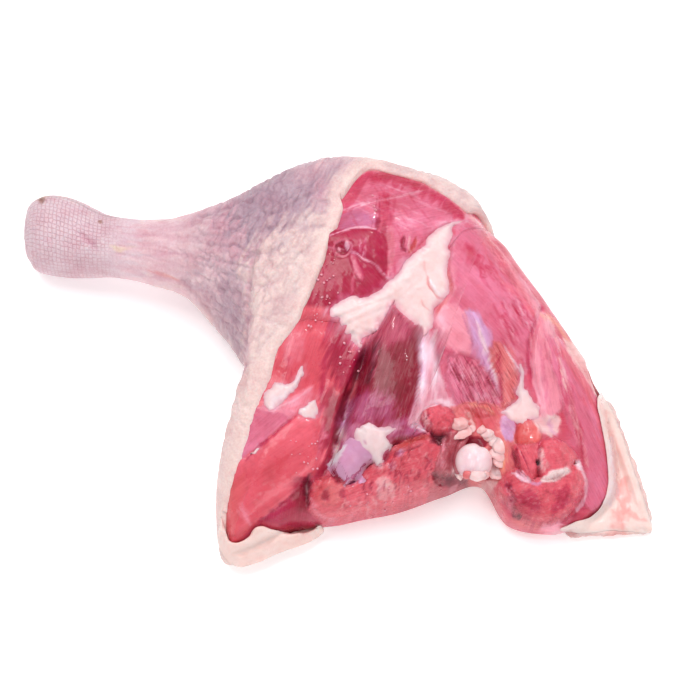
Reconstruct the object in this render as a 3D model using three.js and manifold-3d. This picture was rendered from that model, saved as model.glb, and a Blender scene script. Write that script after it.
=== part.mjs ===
// A raw duck leg: drumstick and thigh in one cut, lying on its skin with the cut meat up.
//
// Millimetres. +X runs from the hock to the cut thigh end, +Y to the back edge, +Z up, and the
// leg rests on the flat underside of its skin at z = 0. The numbers below are in a drawing frame
// that starts near the knee; the last step moves the whole leg so that its origin is the middle
// of its footprint.
//
// The skin, the two meats and the fat are all worked out from one lofted surface. Its sections
// stand on stations from the hock (station 0) to the tip of the skin flap (the last station).

import * as THREE from 'three';
import { mergeVertices } from 'three/addons/utils/BufferGeometryUtils.js';
import Module from 'manifold-3d';

const wasm = await Module();
wasm.setup();

// ---- driving dimensions ------------------------------------------------------------------

const SKIN = 2.6; // skin with the fat that stays on it
const GAP = 0.3; // between pieces that grow against each other
const SAG = 0.7; // how far the soft underside settles flat on the table
const FAT = 2.6; // fat pad over the knee
const FAT_FROM = 25; // height above which the pad lies
const BALL_RADIUS = 5.4; // head of the thigh bone, with its gristle
const NECK_RADIUS = 4.6; // knuckle between the neck and the shaft
const SHAFT_RADIUS = 3.5;
const KNEE_RADIUS = 6.0;

const BALL = [38.7, -41.4, 20.5];
const NECK = [35.5, -34.5, 17.5]; // where the neck meets the shaft
const KNEE = [22.5, 9.0, 20.0];

// Round sections of the bare shank: centre x, y, z and radius, from the cut hock to the calf.
const SHANK = [
  [-99.5, 43.0, 11.0, 0.0],
  [-99.0, 43.0, 11.0, 6.0],
  [-97.3, 43.3, 11.4, 9.6],
  [-94.2, 43.4, 12.0, 11.8],
  [-89.7, 42.2, 12.4, 12.6],
  [-85.0, 40.6, 12.6, 12.4],
  [-80.0, 38.4, 13.4, 11.4],
  [-74.9, 36.6, 14.8, 10.2],
  [-68.5, 34.9, 16.6, 9.6],
  [-61.0, 32.8, 18.2, 9.9],
  [-54.0, 31.0, 19.8, 10.9],
];

// Wide sections: back edge x, y, z, front edge x, y, z, height of the crown above the line
// between them, and height of the underside above the table.
const BODY = [
  [-46.5, 41.8, 21.0, -46.8, 16.6, 19.5, 13.0, 7.0], // calf
  [-39.0, 41.8, 23.0, -38.4, 8.0, 19.5, 17.0, 3.0],
  [-31.0, 42.6, 25.5, -31.2, -1.5, 20.0, 20.0, 1.0],
  [-21.5, 46.6, 28.0, -27.0, -12.0, 19.5, 22.0, 0.0],
  [-11.0, 51.4, 30.5, -29.0, -24.0, 17.0, 22.5, 0.0],
  [-2.0, 54.0, 32.0, -35.5, -41.0, 13.0, 21.5, 0.0],
  [7.5, 54.8, 32.5, -35.5, -60.0, 8.0, 20.5, 0.0], // mouth, where the skin is cut open
  [18.0, 52.2, 32.2, -31.5, -67.0, 6.0, 20.5, 0.0],
  [30.0, 49.0, 30.3, -16.0, -60.3, 5.0, 21.0, 0.0], // knee
  [40.0, 44.2, 27.8, 2.0, -53.7, 4.5, 21.0, 0.0],
  [47.2, 34.8, 25.0, 17.0, -50.4, 4.5, 20.5, 0.0],
  [54.6, 22.8, 22.0, 30.6, -45.2, 4.5, 19.5, 0.0], // thigh
  [62.8, 11.2, 19.0, 41.4, -42.0, 4.5, 18.0, 0.0],
  [71.6, -1.8, 15.5, 49.2, -54.6, 4.5, 15.0, 0.0],
  [79.8, -13.8, 11.5, 65.0, -57.2, 4.0, 10.0, 0.0],
  [85.8, -29.0, 7.0, 77.0, -56.3, 3.0, 4.5, 0.0], // flap of bare skin
  [90.3, -43.5, 4.5, 86.5, -55.7, 2.5, 2.0, 0.0],
  [92.0, -54.0, 2.5, 91.6, -54.9, 2.5, 1.0, 0.0],
];

const MOUTH = SHANK.length + 6;
const TIP = SHANK.length + BODY.length - 1;
const FUNNEL = 8.5; // station where the meat runs out inside the shank
const MEAT_END = TIP - 2.5; // station where the meat ends on the flap
const EDGE_STEP = 0.05; // stations, for the run of an edge
const CURL = Math.PI / 8; // angle by which the skin still curls over the back edge at the mouth

// The sections are superellipses: round on the shank, squarer and leaning back on the thigh, and
// steep down its cut front.
const ROUND = 2;
const THIGH_OVER = 0.25;
const THIGH_UNDER = 0.8;
const CUT_FRONT = 1.5;
const LEAN = 0.25;
const THIN = 0.1; // least height of a section on each side of its edges
const SHANK_END = 10; // station where the sections begin to change
const THIGH_START = 14; // station where they have changed

const HALF_TURN = 16; // facets from edge to edge of a section
const PER_STATION = 2; // facets along the leg
const CLEAR = 140; // beyond the leg on every side
const BALL_FACETS = [16, 10];
const ROD_FACETS = 12;

// Lobes (+) and hollows (-) of the cut meat face: x, y, height, radius.
const RELIEF = [
  [18, 27, 2.5, 14], // calf muscle
  [-2, -22, -3.0, 8], // valley beside the middle muscle
  [17, -24, 4.5, 11], // middle thigh muscle
  [15, -40, 3.0, 9], // its cut end
  [28, -38, 1.5, 7],
  [46, 2, 3.0, 16], // outer thigh muscle
  [44, -30, -2.0, 8], // hollow at the joint
  [58, -44, 6.0, 10], // round cut end of the thigh
];

// Where the drumstick's meat meets the thigh's, from the front of the leg to the back.
const SEAM = [
  [-60, -14],
  [-9.3, -3.9],
  [-1.4, -4.5],
  [14.5, 2.0],
  [29.4, 13.9],
  [36.4, 24.9],
  [46.0, 32.5],
  [62, 62],
];

// Outline of the fat pad over the knee, and its tongue down the middle muscle.
const KNEE_FAT = [
  [33.5, 27.5],
  [26.0, 20.5],
  [19.0, 11.5],
  [9.5, 3.0],
  [-1.5, -2.0],
  [-3.5, -6.0],
  [1.5, -14.0],
  [7.0, -16.5],
  [12.0, -7.0],
  [17.0, -3.5],
  [22.0, -8.0],
  [27.0, -8.5],
  [31.0, 0.0],
  [32.5, 8.0],
  [33.0, 17.0],
];

// ---- the lofted surface ------------------------------------------------------------------

const clamp = (value, low, high) => Math.min(Math.max(value, low), high);
const smooth = (from, to, value) => {
  const s = clamp((value - from) / (to - from), 0, 1);
  return s * s * (3 - 2 * s);
};

// A round section as a wide one: its edges lie one radius to each side of the shank's axis.
function wideSection([x, y, z, radius], index) {
  const before = SHANK[index > 2 ? index - 1 : 2];
  const after = SHANK[Math.min(Math.max(index, 2) + 1, SHANK.length - 1)];
  const length = Math.hypot(after[0] - before[0], after[1] - before[1]);
  const sideX = (-(after[1] - before[1]) / length) * radius;
  const sideY = ((after[0] - before[0]) / length) * radius;
  return [x + sideX, y + sideY, z, x - sideX, y - sideY, z, radius, Math.max(z - radius, 0)];
}

const STATIONS = [...SHANK.map(wideSection), ...BODY];

// The section at any station: a Catmull-Rom curve through each of the section's numbers.
function sectionAt(t) {
  const i = Math.min(Math.floor(t), TIP - 1);
  const f = t - i;
  const near = [i - 1, i, i + 1, i + 2].map((k) => STATIONS[clamp(k, 0, TIP)]);
  return STATIONS[0].map((_, n) => {
    const [a, b, c, d] = near.map((row) => row[n]);
    const square = (2 * a - 5 * b + 4 * c - d) * f * f;
    return 0.5 * (2 * b + (c - a) * f + square + (3 * b - a - 3 * c + d) * f ** 3);
  });
}

// Both edges of the section at t, moved `wall` mm inwards, square to the edge's run in plan.
function edgesAt(t, wall) {
  const here = sectionAt(t);
  const before = sectionAt(Math.max(t - EDGE_STEP, 0));
  const after = sectionAt(Math.min(t + EDGE_STEP, TIP));
  const room = Math.min(wall, 0.4 * Math.hypot(here[0] - here[3], here[1] - here[4]));
  return [0, 3].map((n) => {
    const [runX, runY] = [after[n] - before[n], after[n + 1] - before[n + 1]];
    const inwards = ((n === 0 ? 1 : -1) * room) / Math.hypot(runX, runY);
    return [here[n] + runY * inwards, here[n + 1] - runX * inwards, here[n + 2]];
  });
}

// A point of the leg, `wall` mm inside its outer surface. The angle runs from the back edge over
// the top to the front edge (0 to pi) and back underneath (pi to 2 pi).
function legPoint(t, angle, wall) {
  const [crown, keel] = sectionAt(t).slice(6);
  const [back, front] = edgesAt(t, wall);
  const broad = smooth(SHANK_END, THIGH_START, t);
  const steep = Math.cos(angle) < 0 ? smooth(MOUTH, MOUTH + 3, t) : 0;
  const over = Math.sin(angle) >= 0;
  const squarer = over ? THIGH_OVER * broad + CUT_FRONT * steep : THIGH_UNDER * broad;
  const power = ROUND + squarer;
  const across = Math.sign(Math.cos(angle)) * Math.abs(Math.cos(angle)) ** (2 / power);
  const lift = Math.abs(Math.sin(angle)) ** (2 / power);
  const [x, y, edge] = [0, 1, 2].map((n) => {
    return (back[n] + front[n]) / 2 + (across * (back[n] - front[n])) / 2;
  });
  const lean = 1 + LEAN * across * broad * (1 - steep);
  const rise = Math.max(Math.max(crown, 0) - wall, THIN) * lean;
  const drop = Math.max(edge - Math.max(keel, 0) - wall, THIN);
  const height = over ? edge + rise * lift : edge - drop * lift;
  return [x, y, Math.max(height - SAG, wall)];
}

// The cut face of the meat: the loft's upper side with the muscles' lobes and hollows on it.
function facePoint(t, angle, wall) {
  const [x, y, z] = legPoint(t, angle, wall);
  const inside = Math.sin(angle) ** 0.5 * smooth(CURL, 1, angle) * smooth(MOUTH, MOUTH + 1.5, t);
  const ends = 1 - smooth(MEAT_END - 1.2, MEAT_END, t);
  let relief = 0;
  for (const [cx, cy, height, radius] of RELIEF) {
    relief += height * Math.exp(-((x - cx) ** 2 + (y - cy) ** 2) / (2 * radius * radius));
  }
  return [x, y, z + relief * inside * ends];
}

// ---- closed bodies from patches ----------------------------------------------------------

// Triangles of one patch of surface, a grid of point(u, v). The patches of a body share the
// same points along their borders, so that merging them closes it.
function patch(us, vs, point, flip = false) {
  const grid = us.map((u) => vs.map((v) => point(u, v)));
  const triangles = [];
  for (let i = 0; i + 1 < us.length; i += 1) {
    for (let j = 0; j + 1 < vs.length; j += 1) {
      const [a, b, c, d] = [grid[i][j], grid[i + 1][j], grid[i + 1][j + 1], grid[i][j + 1]];
      triangles.push(...(flip ? [a, b, c, a, c, d] : [a, c, b, a, d, c]));
    }
  }
  return triangles;
}

const steps = (from, to, count) => {
  return Array.from({ length: count + 1 }, (_, i) => from + ((to - from) * i) / count);
};

// One closed geometry from patches: equal points become one, and flat triangles go.
function closedGeometry(patches) {
  const geometry = new THREE.BufferGeometry();
  geometry.setAttribute('position', new THREE.Float32BufferAttribute(patches.flat(2), 3));
  const merged = mergeVertices(geometry, 1e-3);
  const index = Array.from(merged.index.array);
  const kept = [];
  for (let i = 0; i < index.length; i += 3) {
    const [a, b, c] = index.slice(i, i + 3);
    if (a !== b && b !== c && c !== a) kept.push(a, b, c);
  }
  merged.setIndex(kept);
  return merged;
}

function solidOf(geometry) {
  const plain = geometry.clone();
  plain.deleteAttribute('normal');
  plain.deleteAttribute('uv');
  const merged = mergeVertices(plain, 1e-4);
  const mesh = new wasm.Mesh({
    numProp: 3,
    vertProperties: new Float32Array(merged.attributes.position.array),
    triVerts: new Uint32Array(merged.index.array),
  });
  return new wasm.Manifold(mesh);
}

function geometryOf(solid) {
  const mesh = solid.getMesh();
  const geometry = new THREE.BufferGeometry();
  geometry.setAttribute('position', new THREE.BufferAttribute(mesh.vertProperties, 3));
  geometry.setIndex(new THREE.BufferAttribute(mesh.triVerts, 1));
  return geometry;
}

// ---- pieces ------------------------------------------------------------------------------

const OVER = steps(0, Math.PI, HALF_TURN); // angles over the top
const LIP = OVER.slice(2); // those of the mouth's lip, from the curl to the front edge
const UNDER = steps(Math.PI, 2 * Math.PI, HALF_TURN); // angles underneath
const CURLED = [0, 0.5, 1]; // shares of the curl

// The skin: a closed sock round the shank and calf, which opens at the mouth into a trough under
// the meat and ends in the bare flap. Its wall is one body with the solid end of the shank.
function skinGeometry() {
  const outer = (t, angle) => legPoint(t, angle, 0);
  const inner = (t, angle) => legPoint(t, angle, SKIN);
  const curl = (t) => CURL * (1 - 0.85 * smooth(MOUTH, MOUTH + 6, t));
  const centre = new THREE.Vector3(...inner(FUNNEL, 0));
  centre.lerp(new THREE.Vector3(...inner(FUNNEL, Math.PI)), 0.5);
  const pocket = (end, angle) => (end ? inner(FUNNEL, angle) : centre.toArray());
  const sock = steps(0, MOUTH, PER_STATION * MOUTH);
  const lining = steps(FUNNEL, MOUTH, PER_STATION * (MOUTH - FUNNEL));
  const trough = steps(MOUTH, TIP, PER_STATION * (TIP - MOUTH));
  const curled = (t, share, wall) => legPoint(t, share * curl(t), wall);
  return closedGeometry([
    patch(sock, OVER, outer),
    patch(sock, UNDER, outer),
    patch(trough, UNDER, outer),
    patch(trough, CURLED, (t, share) => curled(t, share, 0)),
    patch([0, 1], OVER, pocket, true),
    patch([0, 1], UNDER, pocket, true),
    patch(lining, OVER, inner, true),
    patch(lining, UNDER, inner, true),
    patch(trough, UNDER, inner, true),
    patch(trough, CURLED, (t, share) => curled(t, share, SKIN), true),
    patch([0, SKIN], LIP, (wall, angle) => legPoint(MOUTH, angle, wall)),
    patch([0, SKIN], UNDER, (wall, angle) => legPoint(TIP, angle, wall)),
    patch([0, SKIN], CURLED, (wall, share) => curled(TIP, share, wall)),
    patch(trough, [0, SKIN], (t, wall) => legPoint(t, Math.PI, wall), true),
    patch(trough, [0, SKIN], (t, wall) => curled(t, 1, wall)),
  ]);
}

// All the meat as one body, raised by `raise`. It fills the skin and ends in a blunt face.
function meatGeometry(raise = 0) {
  const wall = SKIN + GAP;
  const lifted = ([x, y, z]) => [x, y, z + raise];
  const lower = (t, angle) => lifted(legPoint(t, angle, wall));
  const upper = (t, angle) => lifted(facePoint(t, angle, wall));
  const tail = FUNNEL + GAP;
  const body = steps(FUNNEL + 1 / PER_STATION, MEAT_END, PER_STATION * (MEAT_END - FUNNEL) - 1);
  const length = [tail, ...body];
  const closing = (t, face) => {
    const centre = new THREE.Vector3(...upper(t, 0));
    centre.lerp(new THREE.Vector3(...upper(t, Math.PI)), 0.5);
    return (end, angle) => (end ? face(t, angle) : centre.toArray());
  };
  return closedGeometry([
    patch(length, OVER, upper),
    patch(length, UNDER, lower),
    patch([0, 1], OVER, closing(tail, upper)),
    patch([0, 1], UNDER, closing(tail, lower)),
    patch([0, 1], OVER, closing(MEAT_END, upper), true),
    patch([0, 1], UNDER, closing(MEAT_END, lower), true),
  ]);
}

// An upright block over an outline in plan.
function block(outline, bottom, top) {
  const shape = new THREE.Shape(outline.map(([x, y]) => new THREE.Vector2(x, y)));
  const geometry = new THREE.ExtrudeGeometry(shape, { depth: top - bottom, bevelEnabled: false });
  return solidOf(geometry.translate(0, 0, bottom));
}

// The block over the thigh's side of the seam, which moves over by `shift`.
function thighBlock(shift) {
  const seam = SEAM.map(([x, y]) => [x - shift, y + shift]);
  const [first, last] = [seam[0], seam[seam.length - 1]];
  const corners = [
    [CLEAR, last[1]],
    [CLEAR, -CLEAR],
    [first[0], -CLEAR],
  ];
  return block([...seam, ...corners], -CLEAR, CLEAR);
}

// The thigh bone: a ball and neck at the hip, a shaft, and a thick knee end, each `room` thicker.
function boneSolid(room) {
  const at = (list) => new THREE.Vector3(...list);
  const ball = ([x, y, z], radius) => {
    return solidOf(new THREE.SphereGeometry(radius + room, ...BALL_FACETS).translate(x, y, z));
  };
  const rod = (from, to, radiusFrom, radiusTo) => {
    const run = at(to).sub(at(from));
    const turn = new THREE.Quaternion().setFromUnitVectors(
      new THREE.Vector3(0, 1, 0),
      run.clone().normalize(),
    );
    const geometry = new THREE.CylinderGeometry(
      radiusTo + room,
      radiusFrom + room,
      run.length(),
      ROD_FACETS,
    );
    const middle = at(from).addScaledVector(run, 0.5);
    return solidOf(geometry.applyQuaternion(turn).translate(middle.x, middle.y, middle.z));
  };
  return ball(BALL, BALL_RADIUS)
    .add(rod(BALL, NECK, SHAFT_RADIUS, SHAFT_RADIUS))
    .add(ball(NECK, NECK_RADIUS))
    .add(rod(NECK, KNEE, SHAFT_RADIUS, SHAFT_RADIUS))
    .add(ball(KNEE, KNEE_RADIUS));
}

// ---- the leg -----------------------------------------------------------------------------

const LOOKS = {
  skin: { color: 0xe6cdc6, roughness: 0.5 },
  drumstick_meat: { color: 0xc2586f, roughness: 0.35 },
  thigh_meat: { color: 0xb54659, roughness: 0.35 },
  thigh_bone: { color: 0xead6d8, roughness: 0.4 },
  knee_fat: { color: 0xf0dcd2, roughness: 0.45 },
};

const meat = solidOf(meatGeometry());
const boneRoom = boneSolid(GAP);
const fatOver = solidOf(meatGeometry(FAT)).subtract(solidOf(meatGeometry(GAP)));

const pieces = {
  skin: skinGeometry(),
  drumstick_meat: geometryOf(meat.subtract(thighBlock(GAP)).subtract(boneRoom)),
  thigh_meat: geometryOf(meat.intersect(thighBlock(0)).subtract(boneRoom)),
  thigh_bone: geometryOf(boneSolid(0)),
  knee_fat: geometryOf(fatOver.intersect(block(KNEE_FAT, FAT_FROM, CLEAR))),
};

const leg = new THREE.Group();
for (const [name, geometry] of Object.entries(pieces)) {
  const mesh = new THREE.Mesh(geometry, new THREE.MeshStandardMaterial(LOOKS[name]));
  mesh.name = name;
  leg.add(mesh);
}

// The origin is the middle of the footprint, on the table.
const box = new THREE.Box3().setFromObject(leg);
leg.position.set(-(box.min.x + box.max.x) / 2, -(box.min.y + box.max.y) / 2, -box.min.z);

export default leg;
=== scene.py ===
# %% [markdown]
# # A raw duck leg
# A duck leg is drumstick and thigh in one cut. It lies on its skin, and the cut side is up: dark
# red muscles in thin sheaths, a cream pad of fat over the knee, the ball of the thigh bone, and
# round it all the edge of the skin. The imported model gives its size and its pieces. This file
# gives each piece its surface.

import bpy
import numpy as np
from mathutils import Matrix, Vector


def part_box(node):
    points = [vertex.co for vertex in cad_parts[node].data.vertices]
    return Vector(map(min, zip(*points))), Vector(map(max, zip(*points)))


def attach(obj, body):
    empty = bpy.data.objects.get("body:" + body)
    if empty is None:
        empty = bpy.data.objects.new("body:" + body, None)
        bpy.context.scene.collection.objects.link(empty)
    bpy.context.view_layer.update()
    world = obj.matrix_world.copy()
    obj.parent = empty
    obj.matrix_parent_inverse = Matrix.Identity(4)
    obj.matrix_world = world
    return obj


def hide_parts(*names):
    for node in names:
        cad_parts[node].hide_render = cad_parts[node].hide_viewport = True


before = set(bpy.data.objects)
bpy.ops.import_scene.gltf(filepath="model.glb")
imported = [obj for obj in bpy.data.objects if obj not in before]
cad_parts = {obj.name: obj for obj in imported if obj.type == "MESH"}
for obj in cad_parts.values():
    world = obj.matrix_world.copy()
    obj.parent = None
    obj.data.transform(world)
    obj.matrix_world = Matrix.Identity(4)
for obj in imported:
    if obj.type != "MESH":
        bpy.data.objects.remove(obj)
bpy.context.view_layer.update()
print("nodes:", sorted(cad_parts))

# %% [markdown]
# ## One surface for the whole leg
# Skin and meat follow one lofted surface, so both are worked out from the same sections. A section
# is a squashed superellipse between a back edge and a front edge. Its numbers change smoothly from
# the hock, at station 0, to the tip of the skin flap. All sizes are millimetres in a drawing frame,
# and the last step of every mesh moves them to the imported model's place.

# %% The leg's stations
MM = 0.001
UP = np.array([0, 0, 1.0])
SKIN = 2.6  # skin with the fat that stays on it
GAP = 0.05
SAG = 0.7  # how far the soft underside settles flat
BALL = np.array([38.7, -41.4, 20.5])
BALL_RADIUS = 5.4

# Round sections of the bare shank: centre x, y, z and radius.
SHANK = np.array([
    (-99.5, 43.0, 11.0, 0.0), (-99.0, 43.0, 11.0, 6.0), (-97.3, 43.3, 11.4, 9.6),
    (-94.2, 43.4, 12.0, 11.8), (-89.7, 42.2, 12.4, 12.6), (-85.0, 40.6, 12.6, 12.4),
    (-80.0, 38.4, 13.4, 11.4), (-74.9, 36.6, 14.8, 10.2), (-68.5, 34.9, 16.6, 9.6),
    (-61.0, 32.8, 18.2, 9.9), (-54.0, 31.0, 19.8, 10.9),
])

# Wide sections: back edge x, y, z, front edge x, y, z, crown above them, underside's height.
BODY = np.array([
    (-46.5, 41.8, 21.0, -46.8, 16.6, 19.5, 13.0, 7.0),
    (-39.0, 41.8, 23.0, -38.4, 8.0, 19.5, 17.0, 3.0),
    (-31.0, 42.6, 25.5, -31.2, -1.5, 20.0, 20.0, 1.0),
    (-21.5, 46.6, 28.0, -27.0, -12.0, 19.5, 22.0, 0.0),
    (-11.0, 51.4, 30.5, -29.0, -24.0, 17.0, 22.5, 0.0),
    (-2.0, 54.0, 32.0, -35.5, -41.0, 13.0, 21.5, 0.0),
    (7.5, 54.8, 32.5, -35.5, -60.0, 8.0, 20.5, 0.0),
    (18.0, 52.2, 32.2, -31.5, -67.0, 6.0, 20.5, 0.0),
    (30.0, 49.0, 30.3, -16.0, -60.3, 5.0, 21.0, 0.0),
    (40.0, 44.2, 27.8, 2.0, -53.7, 4.5, 21.0, 0.0),
    (47.2, 34.8, 25.0, 17.0, -50.4, 4.5, 20.5, 0.0),
    (54.6, 22.8, 22.0, 30.6, -45.2, 4.5, 19.5, 0.0),
    (62.8, 11.2, 19.0, 41.4, -42.0, 4.5, 18.0, 0.0),
    (71.6, -1.8, 15.5, 49.2, -54.6, 4.5, 15.0, 0.0),
    (79.8, -13.8, 11.5, 65.0, -57.2, 4.0, 10.0, 0.0),
    (85.8, -29.0, 7.0, 77.0, -56.3, 3.0, 4.5, 0.0),
    (90.3, -43.5, 4.5, 86.5, -55.7, 2.5, 2.0, 0.0),
    (92.0, -54.0, 2.5, 91.6, -54.9, 2.5, 1.0, 0.0),
])
MOUTH = len(SHANK) + 6  # station where the skin is cut open
TIP = len(SHANK) + len(BODY) - 1
FUNNEL = 8.5  # station where the meat runs out inside the shank
MEAT_END = TIP - 2.5
CURL = np.pi / 8  # angle by which the skin curls over the back edge at the mouth

# Lobes (+) and hollows (-) of the meat face: x, y, height, radius.
RELIEF = np.array([
    (18, 27, 2.5, 14), (-2, -22, -3.0, 8), (17, -24, 4.5, 11), (15, -40, 3.0, 9),
    (28, -38, 1.5, 7), (46, 2, 3.0, 16), (44, -30, -2.0, 8), (58, -44, 6.0, 10),
])


def smooth(low, high, value):
    """0 below low, 1 above high, and a soft S between them."""
    s = np.clip((value - low) / (high - low), 0, 1)
    return s * s * (3 - 2 * s)


def spline(a, b, c, d, f):
    """Catmull-Rom: the value a share f of the way from b to c, with a and d on either side."""
    return 0.5 * (2 * b + (c - a) * f + (2 * a - 5 * b + 4 * c - d) * f**2
                  + (3 * b - a - 3 * c + d) * f**3)


def wide_sections():
    """The shank's round sections as wide ones, each edge one radius to its side, then the body's."""
    rows = []
    for i, (x, y, z, radius) in enumerate(SHANK):
        before = SHANK[i - 1 if i > 2 else 2][:2]
        after = SHANK[min(max(i, 2) + 1, len(SHANK) - 1)][:2]
        run = (after - before) / np.linalg.norm(after - before)
        side = np.array([-run[1], run[0]]) * radius
        edges = [x + side[0], y + side[1], z, x - side[0], y - side[1], z]
        rows.append([*edges, radius, max(z - radius, 0)])
    return np.vstack([rows, BODY])


STATIONS = wide_sections()


def section(t):
    """The eight numbers of the section at station t: a Catmull-Rom curve through each of them."""
    i = np.minimum(np.floor(t).astype(int), TIP - 1)
    f = (t - i)[..., None]
    a, b, c, d = [STATIONS[np.clip(i + k, 0, TIP)] for k in (-1, 0, 1, 2)]
    return spline(a, b, c, d, f)


def edges(t, wall):
    """Back and front edge at station t, moved `wall` inwards, square to their run in plan."""
    step = 0.05
    here, before, after = section(t), section(np.maximum(t - step, 0)), section(np.minimum(t + step, TIP))
    width = np.hypot(here[..., 0] - here[..., 3], here[..., 1] - here[..., 4])
    room = np.minimum(wall, 0.4 * width)
    moved = []
    for n, sign in ((0, 1), (3, -1)):
        run_x, run_y = after[..., n] - before[..., n], after[..., n + 1] - before[..., n + 1]
        k = sign * room / np.maximum(np.hypot(run_x, run_y), 1e-9)
        moved.append(np.stack([here[..., n] + run_y * k, here[..., n + 1] - run_x * k,
                               here[..., n + 2]], -1))
    return moved


def leg_point(t, angle, wall=0.0):
    """A point `wall` inside the leg's surface. The angle runs from the back edge over the top to the
    front edge (0 to pi) and back underneath. x = middle + half width * |cos|^(2/m), the height is
    |sin|^(2/m) of the crown or of the drop to the underside, flattened at the table."""
    t, angle, wall = np.broadcast_arrays(*[np.asarray(v, float) for v in (t, angle, wall)])
    numbers = section(t)
    crown, keel = np.maximum(numbers[..., 6], 0), np.maximum(numbers[..., 7], 0)
    back, front = edges(t, wall)
    broad, over = smooth(10, 14, t), np.sin(angle) >= 0
    steep = np.where(np.cos(angle) < 0, smooth(MOUTH, MOUTH + 3, t), 0)
    power = 2 + np.where(over, 0.25 * broad + 1.5 * steep, 0.8 * broad)
    across = np.sign(np.cos(angle)) * np.abs(np.cos(angle)) ** (2 / power)
    lift = np.abs(np.sin(angle)) ** (2 / power)
    point = (back + front) / 2 + across[..., None] * (back - front) / 2
    edge = point[..., 2].copy()
    rise = np.maximum(crown - wall, 0.1) * (1 + 0.25 * across * broad * (1 - steep))
    drop = np.maximum(edge - keel - wall, 0.1)
    point[..., 2] = np.maximum(np.where(over, edge + rise * lift, edge - drop * lift) - SAG, wall)
    return point


def face_point(t, angle, wall=SKIN + GAP):
    """The smooth cut face of the meat: the upper side of the leg with its lobes and hollows."""
    point = leg_point(t, angle, wall)
    t, angle = np.broadcast_arrays(t, angle)
    inside = np.abs(np.sin(angle)) ** 0.5 * smooth(CURL, 1, angle) * smooth(MOUTH, MOUTH + 1.5, t)
    ends = 1 - smooth(MEAT_END - 1.2, MEAT_END, t)
    for x, y, height, radius in RELIEF:
        away = (point[..., 0] - x) ** 2 + (point[..., 1] - y) ** 2
        point[..., 2] += height * np.exp(-away / (2 * radius**2)) * inside * ends
    return point


# The drawing frame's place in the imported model: the hock's end and the bone's ball show it.
SHIFT = np.array([
    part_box("skin")[0][0] / MM - SHANK[0, 0],
    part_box("thigh_bone")[0][1] / MM - (BALL[1] - BALL_RADIUS),
    0.0,
])
print("drawing frame moves by", SHIFT.round(3), "mm")

# %% [markdown]
# ## The camera
# The photograph looks down on the leg at 60 degrees from the front, through a long lens. With the
# camera's numbers known, a point of the picture and a place on the leg can be turned into each
# other, so that each muscle and seam is drawn where the photograph has it, on the true surface.

# %% Camera and picture coordinates
PICTURE = (680, 677)
ELEVATION = np.radians(60)
LENS, SENSOR = 100.0, 36.0
DISTANCE = 567.0
AIM = np.array([0.0, 0.0, 20.0])
FOCAL = LENS / SENSOR * PICTURE[0]
CENTRE = (PICTURE[0] / 2, PICTURE[1] / 2)
SIN, COS = np.sin(ELEVATION), np.cos(ELEVATION)
EYE = AIM + DISTANCE * np.array([0, -COS, SIN])


def to_picture(point):
    """Pixel of a point: x over depth, and y turned by the elevation over depth."""
    x, y, z = np.moveaxis(point - AIM, -1, 0)
    depth = DISTANCE + y * COS - z * SIN
    return np.stack([CENTRE[0] + x / depth * FOCAL, CENTRE[1] - (y * SIN + z * COS) / depth * FOCAL], -1)


def from_picture(pixel, height):
    """The point at a height that a pixel shows."""
    pixel, height = np.asarray(pixel, float), np.asarray(height, float)
    k = (CENTRE[1] - pixel[..., 1]) / FOCAL
    w = height - AIM[2]
    y = (k * DISTANCE - w * (k * SIN + COS)) / (SIN - k * COS)
    x = (pixel[..., 0] - CENTRE[0]) / FOCAL * (DISTANCE + y * COS - w * SIN)
    return np.stack([x, y, w + AIM[2]], -1)


camera = bpy.data.objects.new("camera", bpy.data.cameras.new("camera"))
camera.data.lens, camera.data.sensor_width = LENS, SENSOR
camera.location = (EYE + SHIFT) * MM
camera.rotation_euler = (np.pi / 2 - ELEVATION, 0, 0)
bpy.context.scene.collection.objects.link(camera)
bpy.context.scene.camera = camera
print("camera at", [round(v, 3) for v in camera.location])

# %% [markdown]
# ## Meshes from arrays
# A piece is a few grids of points that share their borders. Each grid becomes quads at once, and
# merging points that coincide closes the piece. A piece also carries its painted tint and its
# grain, which are stored on its points for the material to read.

# %% Grids to a closed mesh


def quads_of(rows, columns, flip=False, first=0):
    """Index of each quad of a grid of rows by columns points."""
    corner = first + np.arange(rows - 1)[:, None] * columns + np.arange(columns - 1)[None]
    quad = np.stack([corner, corner + columns, corner + columns + 1, corner + 1], -1).reshape(-1, 4)
    return quad[:, ::-1] if flip else quad


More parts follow.
